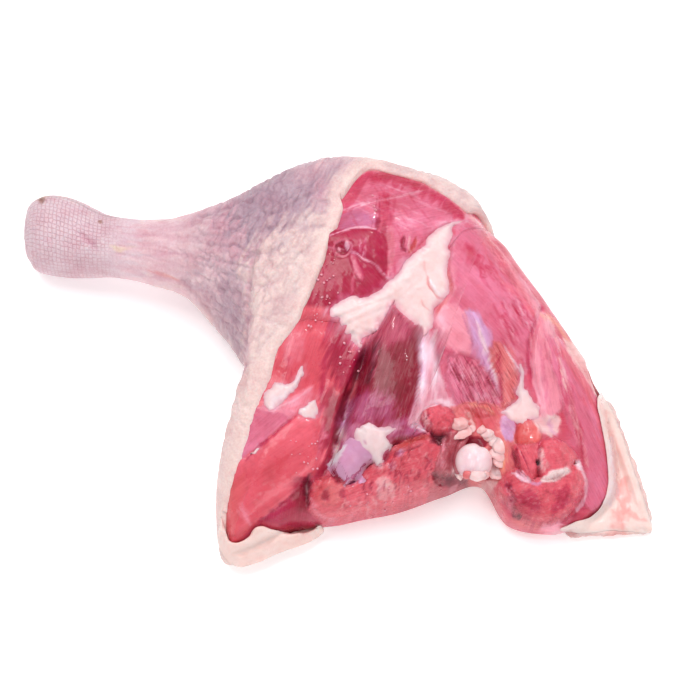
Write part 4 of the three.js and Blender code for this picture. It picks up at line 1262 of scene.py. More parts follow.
# %% Round the thigh bone's ball, and the round cut end of the thigh
JOINT_MARKS = [
    area([(452, 408), (470, 402), (500, 406), (514, 418), (516, 446), (513, 470), (502, 488), (488, 500),
          (472, 490), (458, 480), (442, 476), (437, 458), (450, 436), (454, 420)], FAT_RED, soft=4, lift=0.6,
         dome=8, grain=-60, coarse=0.3),
    area([(460, 410), (478, 404), (500, 410), (498, 428), (480, 432), (466, 426)], SALMON, 0.7, soft=7, rag=3,
         comb=-50),
    line([(466, 408), (476, 414), (484, 426), (487, 434)], 4, RUST, 0.8, soft=3, lift=-0.4),
    line([(470, 404), (486, 408), (498, 416)], 3, APRICOT, 0.7, soft=3, lift=0.3),
    area([(446, 432), (466, 431), (472, 440), (462, 454), (454, 472), (437, 476), (438, 456)], BROWN, 0.95,
         soft=4, lift=0.9, dome=5, rag=1.5, grain=60, coarse=0.4),
    area([(466, 438), (482, 438), (486, 446), (474, 450), (464, 452)], WINE, 0.9, lift=-1.2),
    area([(486, 466), (494, 468), (490, 480), (484, 478)], WINE, 0.85, lift=-0.8),
    area([(476, 482), (490, 480), (500, 484), (494, 494), (482, 494)], FAT_SHADE, 0.95, soft=4, lift=0.8,
         dome=5),
    area([(454, 462), (462, 462), (468, 478), (458, 480), (452, 472)], FAT, 0.85, lift=0.4),
    area([(502, 444), (514, 446), (517, 470), (508, 480), (502, 468)], FAT_RED, 0.8, soft=5, rag=2, comb=-70),
    # Painted shade in the hollow below and left of the ball.
    area([(432, 476), (456, 474), (470, 484), (460, 488), (438, 486)], MAROON, 0.8, soft=4, lift=-1.6, rag=2),
    area([(430, 484), (452, 482), (470, 486), (462, 494), (448, 500), (430, 504)], BROWN, 0.7, soft=12),
    line([(444, 494), (452, 488), (462, 486)], 3, FILM, 0.8, soft=2),
    area([(484, 494), (500, 486), (512, 506), (520, 520), (508, 524), (494, 510)], SALMON, soft=4),
    area([(501, 417), (511, 416), (515, 424), (514, 440), (506, 438), (501, 430)], LILAC, 0.95, rag=1,
         comb=-70),
    area([(516, 426), (524, 419), (536, 422), (542, 438), (532, 446), (517, 446)], ORANGE, lift=1.0, dome=5,
         rag=1, grain=80, coarse=0.3),
    line([(518, 444), (516, 434), (521, 424)], 2.4, RUST, 0.7, soft=2),
    area([(534, 418), (548, 415), (560, 420), (556, 436), (544, 434), (536, 428)], FAT, 0.95, soft=4, rag=1.5,
         comb=-60),
    line([(548, 418), (551, 428), (558, 436)], 2.6, LILAC, 0.8, soft=2),
    area([(498, 484), (504, 476), (514, 470), (530, 478), (542, 478), (556, 478), (570, 468), (579, 464),
          (585, 475), (586, 488), (583, 502), (573, 515), (557, 524), (542, 527), (529, 525), (518, 518),
          (508, 508), (500, 498)], SALMON, soft=2, lift=4.4, dome=16, grain=20, coarse=0.75),
    # Painted shade: the round cut end is darker along its lower rim and in two patches on its lower half.
    line([(503, 500), (514, 514), (530, 523), (546, 525), (562, 520), (576, 508), (583, 494)], 9, MAGENTA,
         0.65, soft=8, taper=False),
    area([(516, 496), (530, 492), (540, 502), (536, 514), (522, 512)], MAGENTA, 0.85, soft=8, rag=4),
    area([(552, 492), (570, 490), (572, 504), (558, 512), (550, 504)], MAGENTA, 0.8, soft=8, rag=4),
    area([(511, 445), (524, 443), (540, 446), (541, 460), (538, 474), (531, 480), (520, 470), (514, 458)],
         SALMON, soft=2, lift=2.8, dome=8, grain=-66, coarse=0.45, fibre=0.3),
    area([(541, 442), (550, 439), (563, 442), (572, 450), (578, 459), (573, 466), (568, 472), (555, 478),
          (542, 479), (538, 466)], SALMON, soft=2, lift=3.6, dome=8, grain=10, coarse=0.55),
    # Painted shade in the crease between the two wedges.
    line([(539, 446), (540, 456), (538, 474)], 2.6, WINE, 0.7, soft=2.4, lift=-0.6),
    # A vessel's hole, sunk a little and painted near black as the shade inside it.
    line([(537, 461), (538.5, 465)], 4, HOLLOW_SHADE, 1.0, soft=1.2, lift=-1.0, patch=0),
    line([(520, 450), (526, 462), (531, 474)], 2, WINE, 0.6, soft=2, lift=-0.3),
    area([(512, 473), (520, 469), (530, 478), (529, 483), (518, 479)], FILM, soft=2, lift=0.9),
    area([(540, 479), (549, 473), (567, 468), (569, 474), (555, 481), (542, 483)], FAT, 0.95, lift=0.9),
    line([(530, 482), (536, 484), (542, 482)], 3, LILAC, 0.8, soft=2),
    line([(576, 461), (583, 473), (586, 487), (584, 501), (577, 511)], 3, FILM, 0.95, soft=2, lift=0.4,
         taper=False),
    area([(574, 460), (580, 460), (582, 470), (577, 468)], WHITE, 0.9, soft=2),
    # Painted shade in a small notch below the cut end.
    area([(512, 514), (520, 514), (522, 520), (514, 520)], MAROON, 0.85, soft=2, lift=-0.8),
    line([(512, 518), (524, 526), (540, 530), (550, 530)], 8, FAT_RED, 0.95, soft=3),
    area([(542, 528), (558, 523), (573, 525), (586, 529), (578, 536), (558, 537), (544, 534)], PINK,
         lift=0.4),
    line([(544, 531), (560, 534), (576, 533), (584, 529)], 2.4, FAT, 0.8, soft=2),
    *weave([(466, 408), (498, 408)], [(474, 430), (504, 436)], (24, 20), (RUST, FAT_SHADE), 51, 0.5),
    *strokes([(502, 440), (514, 442)], [(502, 474), (516, 474)], 22, 1.8, APRICOT, 0.55, 53, length=0.4),
    *strokes([(514, 446), (538, 446)], [(520, 476), (540, 478)], 20, 1.6, WINE, 0.5, 54, length=0.5),
    *strokes([(542, 446), (566, 446)], [(544, 474), (572, 462)], 26, 1.6, FAT_SHADE, 0.5, 55, length=0.3),
    *weave([(508, 480), (576, 474)], [(516, 514), (570, 508)], (60, 60), (PINK, WINE), 56, 0.15, sway=2),
    *strokes([(446, 436), (468, 434)], [(440, 472), (456, 472)], 22, 1.6, PINK, 0.5, 58, length=0.3),
]
ROD_MARK = [
    area([(438, 405), (448, 408), (454, 417), (452, 428), (444, 434), (432, 433), (423, 426), (422, 414),
          (429, 407)], SALMON, soft=2, lift=2.2, dome=5, grain=30, coarse=1.0, patch=0),
    line([(424, 412), (422, 424), (431, 432)], 2.4, MAGENTA, 0.7, soft=2),
    *weave([(424, 410), (450, 410)], [(428, 430), (450, 430)], (34, 34), (WINE, FAT_SHADE), 61, 0.3),
]

# %% Outlines of the fat, and the film of it on the meat round them
KNEE_PAD = [(469, 218), (458, 221), (444, 224), (436, 228), (428, 236), (423, 247), (414, 254), (406, 260),
            (396, 273), (387, 283), (377, 291), (364, 297), (353, 296), (343, 300), (334, 304), (328, 310),
            (332, 318), (339, 321), (341, 329), (347, 337), (351, 343), (358, 348), (365, 350), (363, 340),
            (368, 335), (375, 332), (380, 324), (387, 314), (392, 305), (398, 309), (406, 317), (414, 324),
            (422, 332), (425, 337), (429, 331), (434, 325), (434, 314), (436, 307), (443, 300), (451, 293),
            (449, 284), (448, 272), (449, 260), (451, 253), (448, 247), (452, 240), (454, 230), (459, 225)]
FAT_OUTLINES = {
    "left": ([(304, 365), (303, 376), (296, 390), (289, 395), (279, 405), (270, 411), (263, 405), (267, 391),
              (273, 381), (285, 383), (293, 377), (299, 368)], 0.7, 9),
    "left_small": ([(316, 396), (318, 407), (316, 416), (308, 418), (300, 416), (302, 409), (309, 400)],
                   0.5, 7),
    "crumb": ([(251, 453), (258, 448), (260, 450), (254, 455)], 0.5, 2),
    "lobe": ([(361, 424), (370, 422), (380, 426), (397, 428), (389, 435), (392, 445), (386, 455), (383, 464),
              (375, 466), (368, 456), (359, 448), (355, 437), (357, 429)], 0.7, 10),
    "column": ([(522, 360), (525, 368), (525, 379), (531, 393), (538, 407), (541, 417), (530, 421),
                (520, 426), (512, 422), (502, 414), (509, 406), (516, 396), (519, 381), (519, 367)], 0.6, 10),
}
FILM_MARKS = [area(KNEE_PAD, FILM, 0.8, soft=10, rag=2)]
FILM_MARKS += [area(outline, FILM, 0.7, soft=9, rag=2.5) for outline, _, _ in FAT_OUTLINES.values()]
MEAT_MARKS = (CALF_MARKS + SHIN_MARKS + SIDE_MARKS + LOBE_MARKS + THIGH_MARKS + JOINT_MARKS + ROD_MARK
              + FILM_MARKS)
print(len(MEAT_MARKS), "marks on the meat,", len(SKIN_MARKS), "on the skin")

# %% [markdown]
# The meat is two pieces that part along the knee. Each piece is a face of stations and angles, dense
# where the skin is open, with a coarse underside, a wall along the seam and a cap at the thigh's
# end. Where a dense border meets a coarse one, a zip of triangles joins them.

# %% The meat's shape
SEAM = np.array([(-60, -14), (-9.3, -3.9), (-1.4, -4.5), (14.5, 2.0), (29.4, 13.9), (36.4, 24.9),
                 (46.0, 32.5), (62, 62)])
SEAM_GAP = 0.04  # from the seam to either piece of meat
MEAT_STOP = MEAT_END + 0.9  # last station of the thigh meat's face
DIVE_WALL = 1.8  # depth in the skin's wall where the face is hidden past the thigh's end
BARE_WALL = 0.3  # how deep the meat lies where no skin covers its side
FACE_START = MOUTH - 0.9  # station where the face's fine rows start
MEAT_TOUCH = (0.15, 0.1)  # how strongly fibres show, and how rough the grain is, where no mark says

# The thigh meat's outline at its right end, in the picture. Past it the face dives to the underside.
THIGH_OUTLINE = np.array([(430, 150), (560, 270), (590, 366), (601, 398), (607, 430), (613, 466), (611, 494),
                          (600, 510), (586, 520), (560, 560), (300, 640), (150, 560), (150, 300), (300, 120)])


def meat_wall(t, angle):
    """How deep the meat lies under the leg's surface: under the skin, or nearly at the surface where
    the rims of the skin drop below the front and back edge."""
    low_front = smooth(np.pi - 0.9, np.pi - 0.1, angle) * (
        1 - smooth(np.pi + FRONT_DROP - 0.2, np.pi + FRONT_DROP, angle))
    low_back = np.where(angle < np.pi, 1 - smooth(0.05, 0.8, angle),
                        smooth(2 * np.pi - BACK_DROP, 2 * np.pi - BACK_DROP + 0.2, angle))
    bare = np.maximum(between(t, FRONT_BARE) * low_front, between(t, BACK_BARE) * low_back)
    return SKIN + GAP - (SKIN + GAP - BARE_WALL) * bare


def seam_angle(t, side):
    """Angle at which each station's row crosses the seam, seen in plan. `side` is the gap's sign."""
    angle = np.linspace(0, np.pi, 600)
    point = leg_point(t[:, None], angle[None], SKIN + GAP)
    line_y = np.interp(point[..., 0], SEAM[:, 0], SEAM[:, 1]) + side * SEAM_GAP
    below = point[..., 1] < line_y
    return np.where(below.any(1), angle[np.argmax(below, 1)], np.pi)


def spread(count):
    """Shares from 0 to 1 of a half turn that lie evenly in plan, and a little closer at the ends."""
    share = np.linspace(0, 1, count)
    return 0.7 * np.arccos(1 - 2 * share) / np.pi + 0.3 * share


def meat_point(t, angle):
    """The meat's face with its marks: their lift is looked up again after each move, since a raised
    point shows at another pixel."""
    t, angle = np.broadcast_arrays(t, angle)
    base = face_point(t, angle, meat_wall(t, angle))
    under = leg_point(t, 2 * np.pi - angle, DIVE_WALL)
    flat = base.reshape(-1, 3)
    within = depth_in(to_picture(flat), closed_curve(THIGH_OUTLINE, 4))
    keep = np.maximum(smooth(-3.0, 4.0, within), 1 - smooth(24.0, 24.6, t).ravel())
    flat = under.reshape(-1, 3) * (1 - keep[:, None]) + flat * keep[:, None]
    shown = smooth(MOUTH - 1.4, MOUTH - 0.6, t).ravel() * keep
    rough = np.abs(cloud(flat, 2.6, 41, 2)) * -0.16 + cloud(flat, 8, 42, 2) * 0.4
    at = to_picture(flat)
    cut = touched(at, MEAT_MARKS, wander_of(at), *MEAT_TOUCH)[:, 1]
    rough += cut * (0.35 - 1.5 * np.abs(cloud(flat, 4.0, 43, 3)))
    lift = np.zeros(len(flat))
    for _ in range(3):
        moved = flat + UP * lift[:, None]
        pixel = to_picture(moved)
        lift = (raised(pixel, MEAT_MARKS, wander_of(pixel)) + rough) * shown
        lift *= smooth(0, 0.12, np.sin(angle)).ravel()
    return (flat + UP * lift[:, None]).reshape(base.shape)


def zipped(one, other):
    """Triangles between two borders with unlike counts of points, as a grid's points and faces."""
    n, m = len(one), len(other)
    mid_one, mid_other = (np.arange(n - 1) + 0.5) / (n - 1), (np.arange(m - 1) + 0.5) / (m - 1)
    from_one = np.stack([np.arange(n - 1), np.arange(1, n), n + np.searchsorted(mid_other, mid_one)], 1)
    from_other = np.stack([n + np.arange(1, m), n + np.arange(m - 1),
                           np.searchsorted(mid_one, mid_other, side="right")], 1)
    faces = np.vstack([from_one, from_other])
    return np.vstack([one, other]), np.column_stack([faces, faces[:, 2]])


print("seam angle at stations 14 to 21:", seam_angle(np.arange(14.0, 22.0), 1).round(2))

# %% The two pieces of meat
MEAT_BASE = (214, 92, 116)
UNDER_COLUMNS, WALL_ROWS = 44, 10
BUNDLE_SHADE, BROAD_SHADE = np.array([0.04, 0.12, 0.11]), np.array([0.06, 0.17, 0.155])
WET_LIGHT = 0.08  # what the shine on wet meat adds to dark colours, taken off the tint


def meat_piece(name, rows, side, columns, node_name):
    """Make one piece of meat, the side of the seam where `side` is 1 (drumstick) or -1 (thigh), and give
    back its face and the face's pixels."""
    seam = seam_angle(rows, side)
    if side < 0:
        seam[0] = np.pi  # the thigh starts in one point of the front edge
    low, high = (np.zeros_like(seam), seam) if side > 0 else (seam, np.full_like(seam, np.pi))
    share = spread(columns)
    angle = low[:, None] + share * (high - low)[:, None]
    face = meat_point(rows[:, None], angle)
    under_share = spread(UNDER_COLUMNS)
    around = 2 * np.pi - (low[:, None] + under_share * (high - low)[:, None])
    sunk = smooth(24.2, 25.0, rows[:, None]) * (1 - between(rows[:, None], FRONT_BARE))
    depth = meat_wall(rows[:, None], around)
    under = leg_point(rows[:, None], around, depth + (DIVE_WALL - 0.5 - depth) * sunk)
    for edge, k in ((low, 0), (high, -1)):
        at_rim = (edge < 1e-6) | (edge > np.pi - 1e-6)
        under[at_rim, k] = face[at_rim, k]
    wall_k = -1 if side > 0 else 0
    of_face, of_under = np.linspace(1, 0, WALL_ROWS)[:, None], np.linspace(0, 1, WALL_ROWS)[:, None]
    wall = face[:, wall_k][:, None] * of_face + under[:, wall_k][:, None] * of_under
    parts = [(face, True), (under, False), (wall, side > 0)]
    for k, way in ((0, -1), (-1, 1)):
        points, faces = zipped(face[k], under[k])
        parts.append((points, faces[:, ::way]))
    points = np.concatenate([p.reshape(-1, 3) for p, _ in parts])
    pixel = to_picture(points)
    wander = wander_of(pixel)
    tint = painted(pixel, MEAT_MARKS, wander, np.array(MEAT_BASE) / 255)
    grain = grained(pixel, MEAT_MARKS, wander)
    bundles = cloud(grain * (0.25, 1, 40), 2.2, 52, 2)
    broad = cloud(grain * (0.4, 1, 40), 7.0, 53, 2)
    tint *= 1 + bundles[:, None] * BUNDLE_SHADE + broad[:, None] * BROAD_SHADE
    tint -= WET_LIGHT * (1 - tint)
    piece = build(name, parts, tint, grain, touched(pixel, MEAT_MARKS, wander, *MEAT_TOUCH))
    piece.data.materials.append(MEAT)
    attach(piece, "root")
    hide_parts(node_name)
    return face, pixel[:face.size // 3].reshape(*face.shape[:2], 2)


knee_rows = np.linspace(FACE_START, 25, 3000)
drum_end = knee_rows[np.argmax(seam_angle(knee_rows, 1) < 0.02)]
early = np.linspace(11, 16, 2000)
thigh_start = early[np.argmax(seam_angle(early, -1) < np.pi - 0.02)]
print("drumstick meat ends at station", round(drum_end, 2), "thigh meat starts at", round(thigh_start, 2))
drum_rows = np.concatenate([np.linspace(FUNNEL, FACE_START, 14)[:-1],
                            np.linspace(FACE_START, drum_end, 290)])
thigh_rows = np.concatenate([np.linspace(thigh_start, FACE_START, 8)[:-1],
                             np.linspace(FACE_START, MEAT_STOP, 330)])
drum_face, drum_pixel = meat_piece("drumstick_muscles", drum_rows, 1, 230, "drumstick_meat")
thigh_face, thigh_pixel = meat_piece("thigh_muscles", thigh_rows, -1, 232, "thigh_meat")

# %% [markdown]
# ## Fat, sheaths and bone
# The pad of fat over the knee and the other pale patches lie on the muscles. Each one is a thin slab
# with an uneven top, made on a grid of picture pixels: points just outside the outline are drawn in
# to it, so that its edge is smooth, and the top thins out there. The height of the meat below comes
# from a map of the finished faces.

# %% Height map of the meat
FILL_STEPS, WIDEN_STEPS, BLUR_STEPS = 24, 3, 5  # pixels


def height_map(faces_and_pixels, highest=False):
    """Mean or highest height of points at each pixel of the picture, with the gaps filled in and then
    blurred. Before that the highest heights spread to the pixels round them, so that what is laid on
    them clears every peak."""
    total, count = np.zeros(PICTURE[::-1]), np.zeros(PICTURE[::-1])
    for face, pixel in faces_and_pixels:
        x, y = np.round(pixel.reshape(-1, 2)).astype(int).T
        ok = (x >= 0) & (x < PICTURE[0]) & (y >= 0) & (y < PICTURE[1])
        if highest:
            np.maximum.at(total, (y[ok], x[ok]), face.reshape(-1, 3)[ok, 2])
            count[y[ok], x[ok]] = 1
        else:
            np.add.at(total, (y[ok], x[ok]), face.reshape(-1, 3)[ok, 2])
            np.add.at(count, (y[ok], x[ok]), 1)
    for _ in range(FILL_STEPS):
        wide_total, wide_count = np.zeros_like(total), np.zeros_like(count)
        for dy in (-1, 0, 1):
            for dx in (-1, 0, 1):
                wide_total += np.roll(total, (dy, dx), (0, 1))
                wide_count += np.roll(count, (dy, dx), (0, 1))
        empty = count == 0
        total, count = np.where(empty, wide_total, total), np.where(empty, wide_count, count)
    height = total / np.maximum(count, 1)
    for _ in range(WIDEN_STEPS if highest else 0):
        height = np.max([height] + [np.roll(height, way, axis) for axis in (0, 1) for way in (-1, 1)], 0)
    for _ in range(BLUR_STEPS):
        height = (height + np.roll(height, 1, 0) + np.roll(height, -1, 0) + np.roll(height, 1, 1)
                  + np.roll(height, -1, 1)) / 5
    return height


meat_faces = [(drum_face, drum_pixel), (thigh_face, thigh_pixel)]
HEIGHTS = height_map(meat_faces)
ALL_HEIGHTS = height_map(meat_faces + [(grids[n][0], to_picture(grids[n][0])) for n in (0, 5, 6, 7, 8)], True)


def on_meat(pixel, heights=HEIGHTS):
    """The points of the surface that pixels show, by a height map."""
    x, y = np.clip(pixel[..., 0], 0, PICTURE[0] - 2), np.clip(pixel[..., 1], 0, PICTURE[1] - 2)
    i, j = np.floor(y).astype(int), np.floor(x).astype(int)
    fy, fx = y - i, x - j
    height = (heights[i, j] * (1 - fy) * (1 - fx) + heights[i, j + 1] * (1 - fy) * fx
              + heights[i + 1, j] * fy * (1 - fx) + heights[i + 1, j + 1] * fy * fx)
    return from_picture(pixel, height)


# %% Slabs on the meat
TUCK = 0.15  # how far a slab's outline lies below the meat's surface
RIM_WIDTH, RIM_SHARE = 0.5, 0.7  # how far in a slab's rim takes on what lies round it, and how much
FAT_TOUCH = (0.0, 0.3, 0.0)


def slab(outline, thickness, edge, rag=0.0, sink=0.3, marks=(), lumps=0.15, seed=60, heights=HEIGHTS):
    """Parts of a closed slab on the meat inside a picture outline. Its top rises from just below the
    meat's surface at the outline to `thickness` mm at `edge` pixels inside."""
    shape = closed_curve(outline, 6)
    low, high = shape.min(0) - 4, shape.max(0) + 4
    x, y = np.arange(low[0], high[0]), np.arange(low[1], high[1])
    pixel = np.stack(np.meshgrid(x, y), -1)
    flat = pixel.reshape(-1, 2)
    push = wander_of(flat) * rag

    def depth(p):
        return depth_in(p + push, shape)

    inside = depth(flat)
    slope = np.stack([depth(flat + (0.5, 0)) - inside, depth(flat + (0, 0.5)) - inside], -1) * 2
    slope /= np.maximum(np.linalg.norm(slope, axis=1, keepdims=True), 1e-6)
    drawn = flat - slope * np.minimum(inside, 0)[:, None]
    kept = (inside > -0.9).reshape(pixel.shape[:2])
    tall = np.clip(inside, 0, edge) / edge
    rise = thickness * (0.45 * np.sqrt(tall * (2 - tall)) + 0.55 * smooth(0, 1, tall))
    base = on_meat(drawn, heights) - np.array([0, 0, TUCK]) * (1 - tall[:, None]) ** 2
    lumpy = cloud(base, 3.0, seed, 2) * lumps * tall
    marked = raised(drawn, marks, wander_of(drawn)) * tall
    top = base + UP * (rise + lumpy + marked)[:, None]
    bottom = base - UP * (sink * tall)[:, None]
    top[:, 2], bottom[:, 2] = np.maximum(top[:, 2], 0.4), np.maximum(bottom[:, 2], 0.1)
    return top, bottom, drawn, kept, pixel.shape[:2], tall


def slab_parts(top, bottom, kept, size):
    """Quads of the slab's top and bottom where all four corners are kept, and a wall round them."""
    rows, columns = size
    index = np.arange(rows * columns).reshape(size)
    whole = kept[:-1, :-1] & kept[1:, :-1] & kept[1:, 1:] & kept[:-1, 1:]
    ring = np.stack([index[:-1, :-1], index[1:, :-1], index[1:, 1:], index[:-1, 1:]], -1)
    quads = ring[whole]
    padded = np.pad(whole, 1)
    walls = []
    for k, (dy, dx) in enumerate(((0, -1), (1, 0), (0, 1), (-1, 0))):
        beside = padded[1 + dy:1 + dy + rows - 1, 1 + dx:1 + dx + columns - 1]
        open_side = ring[whole & ~beside]
        a, b = open_side[:, k], open_side[:, (k + 1) % 4]
        walls.append(np.stack([b, a, a + rows * columns, b + rows * columns], 1))
    faces = np.vstack([quads, quads[:, ::-1] + rows * columns, *walls])
    return np.vstack([top, bottom]), faces


def slab_piece(name, slabs, material, marks, base, slot_name, node_name=None):
    """One object from several slabs, painted with marks over a base colour."""
    parts, pixels, shares = [], [], []
    for top, bottom, drawn, kept, size, tall in slabs:
        parts.append(slab_parts(top, bottom, kept, size))
        pixels.append(np.vstack([drawn, drawn]))
        shares.append(np.concatenate([tall, tall]))
    pixel = np.vstack(pixels)
    points = np.concatenate([p for p, _ in parts])
    wander = wander_of(pixel)
    tint = painted(pixel, marks, wander, np.array(base) / 255)
    tint *= 1 + cloud(points, 4, 71, 3)[:, None] * np.array([0.01, 0.035, 0.04])
    rim = (1 - smooth(0.0, RIM_WIDTH, np.concatenate(shares)))[:, None] * RIM_SHARE
    tint += (np.array(PINK if node_name or slot_name == "fat" else INNER_FAT) / 255 - tint) * rim
    piece = build(name, parts, tint, grained(pixel, (), wander), np.tile(FAT_TOUCH, (len(tint), 1)))
    piece.data.materials.append(material)
    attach(piece, "root")
    if node_name:
        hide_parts(node_name)


# %% The knee fat
PAD_MARKS = [
    area([(392, 286), (410, 268), (424, 256), (440, 262), (440, 290), (424, 300), (404, 304)], FAT, 0.6,
         soft=14),
    area([(328, 310), (345, 300), (378, 296), (380, 318), (364, 344), (345, 330)], FAT, 0.6, soft=12),
    line([(427, 278), (428, 286), (432, 292), (438, 298), (446, 298)], 2.2, FAT_RED, 0.8, soft=2, lift=-0.35),
    line([(424, 262), (425, 272), (427, 280)], 2, FAT_RED, 0.3, soft=2),
    line([(429, 282), (434, 290), (441, 296)], 3, WHITE, 0.8, soft=2.5, lift=0.35),
    line([(421, 301), (423, 307), (430, 312)], 1.5, FAT_RED, 0.45, soft=2, lift=-0.15),
    line([(440, 302), (436, 308), (434, 316)], 4, FAT_RED, 0.7, soft=3),
    line([(449, 262), (448, 274), (449, 286)], 3, APRICOT, 0.5, soft=3),
    line([(450, 254), (452, 255)], 2, MAROON, 0.8),
    area([(440, 284), (450, 280), (451, 292), (442, 297)], FAT, 0.6, soft=4),
    # A shallow dip in the pad, darkened with painted shade.
    line([(386, 284), (398, 296), (400, 306)], 6, FAT_SHADE, 0.35, soft=8, lift=-0.2),
]
slab_piece("knee_pad", [slab(KNEE_PAD, 1.1, 14, rag=1.6, marks=PAD_MARKS, lumps=0.35)], FAT_LOOK,
           PAD_MARKS, FAT, "fat", "knee_fat")

# %% The skin's two lower corners, which fold out over its rims
LEFT_CORNER = [(221, 516), (218, 530), (219, 546), (226, 560), (238, 567), (250, 565), (264, 560), (282, 552),
               (300, 546), (316, 539), (324, 531), (320, 526), (308, 531), (290, 533), (272, 529), (263, 526),
               (255, 528), (248, 537), (239, 542), (230, 541), (226, 532)]
RIGHT_FLAP = [(601, 392), (612, 410), (624, 440), (636, 475), (646, 505), (652, 531), (630, 532), (610, 531),
              (585, 533), (560, 530), (575, 522), (590, 517), (601, 506), (607, 490), (608, 466), (603, 432),
              (597, 402)]
for name, outline, thick, edge, seed, marks in (("skin_corner", LEFT_CORNER, 2.6, 6, 90, []),
                                                ("skin_flap", RIGHT_FLAP, 1.0, 8, 92, FLAP_MARKS)):
    corner = slab(outline, thick, edge, rag=0.4, sink=0.8, lumps=0.25, seed=seed, heights=ALL_HEIGHTS)
    slab_piece(name, [corner], FAT_LOOK, marks, INNER_FAT, "skin")

# %% Patches of fat
PATCH_BASE, SHEATH_BASE = (244, 208, 210), (228, 152, 188)
FAT_MARKS = [
    line([(363, 441), (366, 445)], 3, MAUVE, 0.7, soft=3, lift=-0.3),
    area([(355, 424), (372, 422), (368, 440), (358, 446)], FAT, 0.5, soft=6),
    area([(512, 404), (532, 396), (541, 417), (520, 426), (504, 414)], FAT_SHADE, 0.55, soft=6),
    area([(270, 398), (290, 388), (300, 372), (296, 392), (274, 408)], WHITE, 0.5, soft=5),
]
fat_slabs = [slab(outline, thick, edge, rag=2.4, sink=0.2, lumps=0.2, seed=61 + n)
             for n, (outline, thick, edge) in enumerate(FAT_OUTLINES.values())]
slab_piece("fat_patches", fat_slabs, FAT_LOOK, FAT_MARKS, PATCH_BASE, "fat")

# %% The lobe's torn sheath
SHEATH = [(344, 436), (362, 438), (378, 450), (380, 460), (366, 468), (364, 484), (354, 489), (353, 476),
          (345, 492), (341, 478), (332, 478), (327, 468), (336, 454)]
sheath_slab = slab(SHEATH, 0.2, 6, rag=3.0, sink=0.05, lumps=0.1, seed=70)
sheath_marks = strokes([(344, 442), (378, 454)], [(330, 468), (352, 490)], 30, 2.4, WHITE, 0.9, 64,
                       length=0.6)
slab_piece("torn_sheath", [sheath_slab], FAT_LOOK, sheath_marks, SHEATH_BASE, "fat")

# %% [markdown]
# The ball of the thigh bone is smooth and wet, with a shallow saddle. Lumps and one cord of torn
# capsule lie round it: the cord is a row of rings along a path, a lump is an uneven sphere. Beads of
# juice are small lumps too.

# %% The cord, lumps and beads
BALL_PIXEL = (475, 461)  # where the picture shows the ball's centre
TISSUE_TOUCH = (0.1, 0.2, 0.0)


def cord(path, radius, lift, seed):
    """Rings along picture points, `lift` mm above the meat, closed at both ends."""
    way = curve(path, 6)
    share = np.linspace(-1, 1, len(way))
    size = radius * (1 - 0.5 * np.abs(share) ** 3) * (1 + 0.3 * cloud(way, 4, seed, 2))
    size[[0, -1]] = 0
    middle = on_meat(way) + UP * lift
    run = np.gradient(middle, axis=0)
    side = np.cross(run, UP)
    side /= np.linalg.norm(side, axis=1, keepdims=True)
    top = np.cross(side, run)
    top /= np.linalg.norm(top, axis=1, keepdims=True)
    turn = np.linspace(0, 2 * np.pi, 13)[:, None]
    spoke = side[:, None] * np.cos(turn) + top[:, None] * np.sin(turn)
    return middle[:, None] + size[:, None, None] * spoke


def sphere(rows):
    """Unit directions on a grid of rows from pole to pole."""
    around, down = np.meshgrid(np.linspace(0, 2 * np.pi, 2 * rows - 1), np.linspace(0, np.pi, rows))
    return np.stack([np.cos(around) * np.sin(down), np.sin(around) * np.sin(down), np.cos(down)], -1)


def lump(at, radii, lift, seed, rows=13, rough=0.18):
    """An uneven sphere over a picture point, with its radii in millimetres."""
    way = sphere(rows)
    size = 1 + rough * cloud(way, 0.9, seed, 2)[..., None]
    return on_meat(np.array(at, float)) + UP * lift + way * size * np.array(radii)


def tissue(name, parts, material):
    """One object from coloured grids."""
    points = np.concatenate([g.reshape(-1, 3) for g, _ in parts])
    tint = np.concatenate([np.tile(np.array(colour) / 255, (g.size // 3, 1)) for g, colour in parts])
    tint *= 1 + cloud(points, 2.2, 83, 2)[:, None] * np.array([0.03, 0.12, 0.11])
    touch = np.tile(TISSUE_TOUCH, (len(tint), 1))
    piece = build(name, [(g, False) for g, _ in parts], tint, points, touch)
    piece.data.materials.append(material)
    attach(piece, "root")


def on_ball(x, y, z):
    """The point of the ball's surface that lies in a direction from its centre."""
    way = np.array([x, y, z]) / np.linalg.norm([x, y, z])
    return BALL + way * BALL_RADIUS


def stump(way, radii, seed):
    """A lump on the ball itself."""
    return lump(BALL_PIXEL, radii, 0.0, seed) - on_meat(np.array(BALL_PIXEL, float)) + on_ball(*way)


TORN_EDGE = curve([(462, 432), (478, 428), (492, 436), (500, 448), (501, 462), (497, 474)], 2)
draw = np.random.default_rng(5)
torn = []
for n, at in enumerate(TORN_EDGE):
    wide = draw.uniform(1.6, 3.4)
    torn.append((lump(at + draw.normal(0, 1.6, 2), (wide, wide * draw.uniform(0.8, 1.2), 0.7), -0.25, 20 + n,
                      13, 0.35), FAT_SHADE))
tissue("joint_capsule", torn + [
    (cord([(468, 437), (461, 446), (457, 458), (457, 470), (463, 480)], 1.1, 0.5, 2), BROWN),
    (lump((458, 424), (2.9, 2.1, 1.5), 0.1, 9, 17, 0.5), FAT_SHADE),
    (lump((460, 472), (1.6, 2.4, 1.0), 0.1, 12, 17, 0.5), FAT),
    (stump((0.12, -0.92, 0.25), (2.6, 1.6, 1.7), 13), FAT),
    (stump((-0.38, -0.85, 0.25), (1.5, 1.3, 1.3), 14), FAT_RED),
    (stump((0.5, -0.8, 0.1), (1.4, 1.2, 1.6), 19), FAT_SHADE),
], FAT_LOOK)

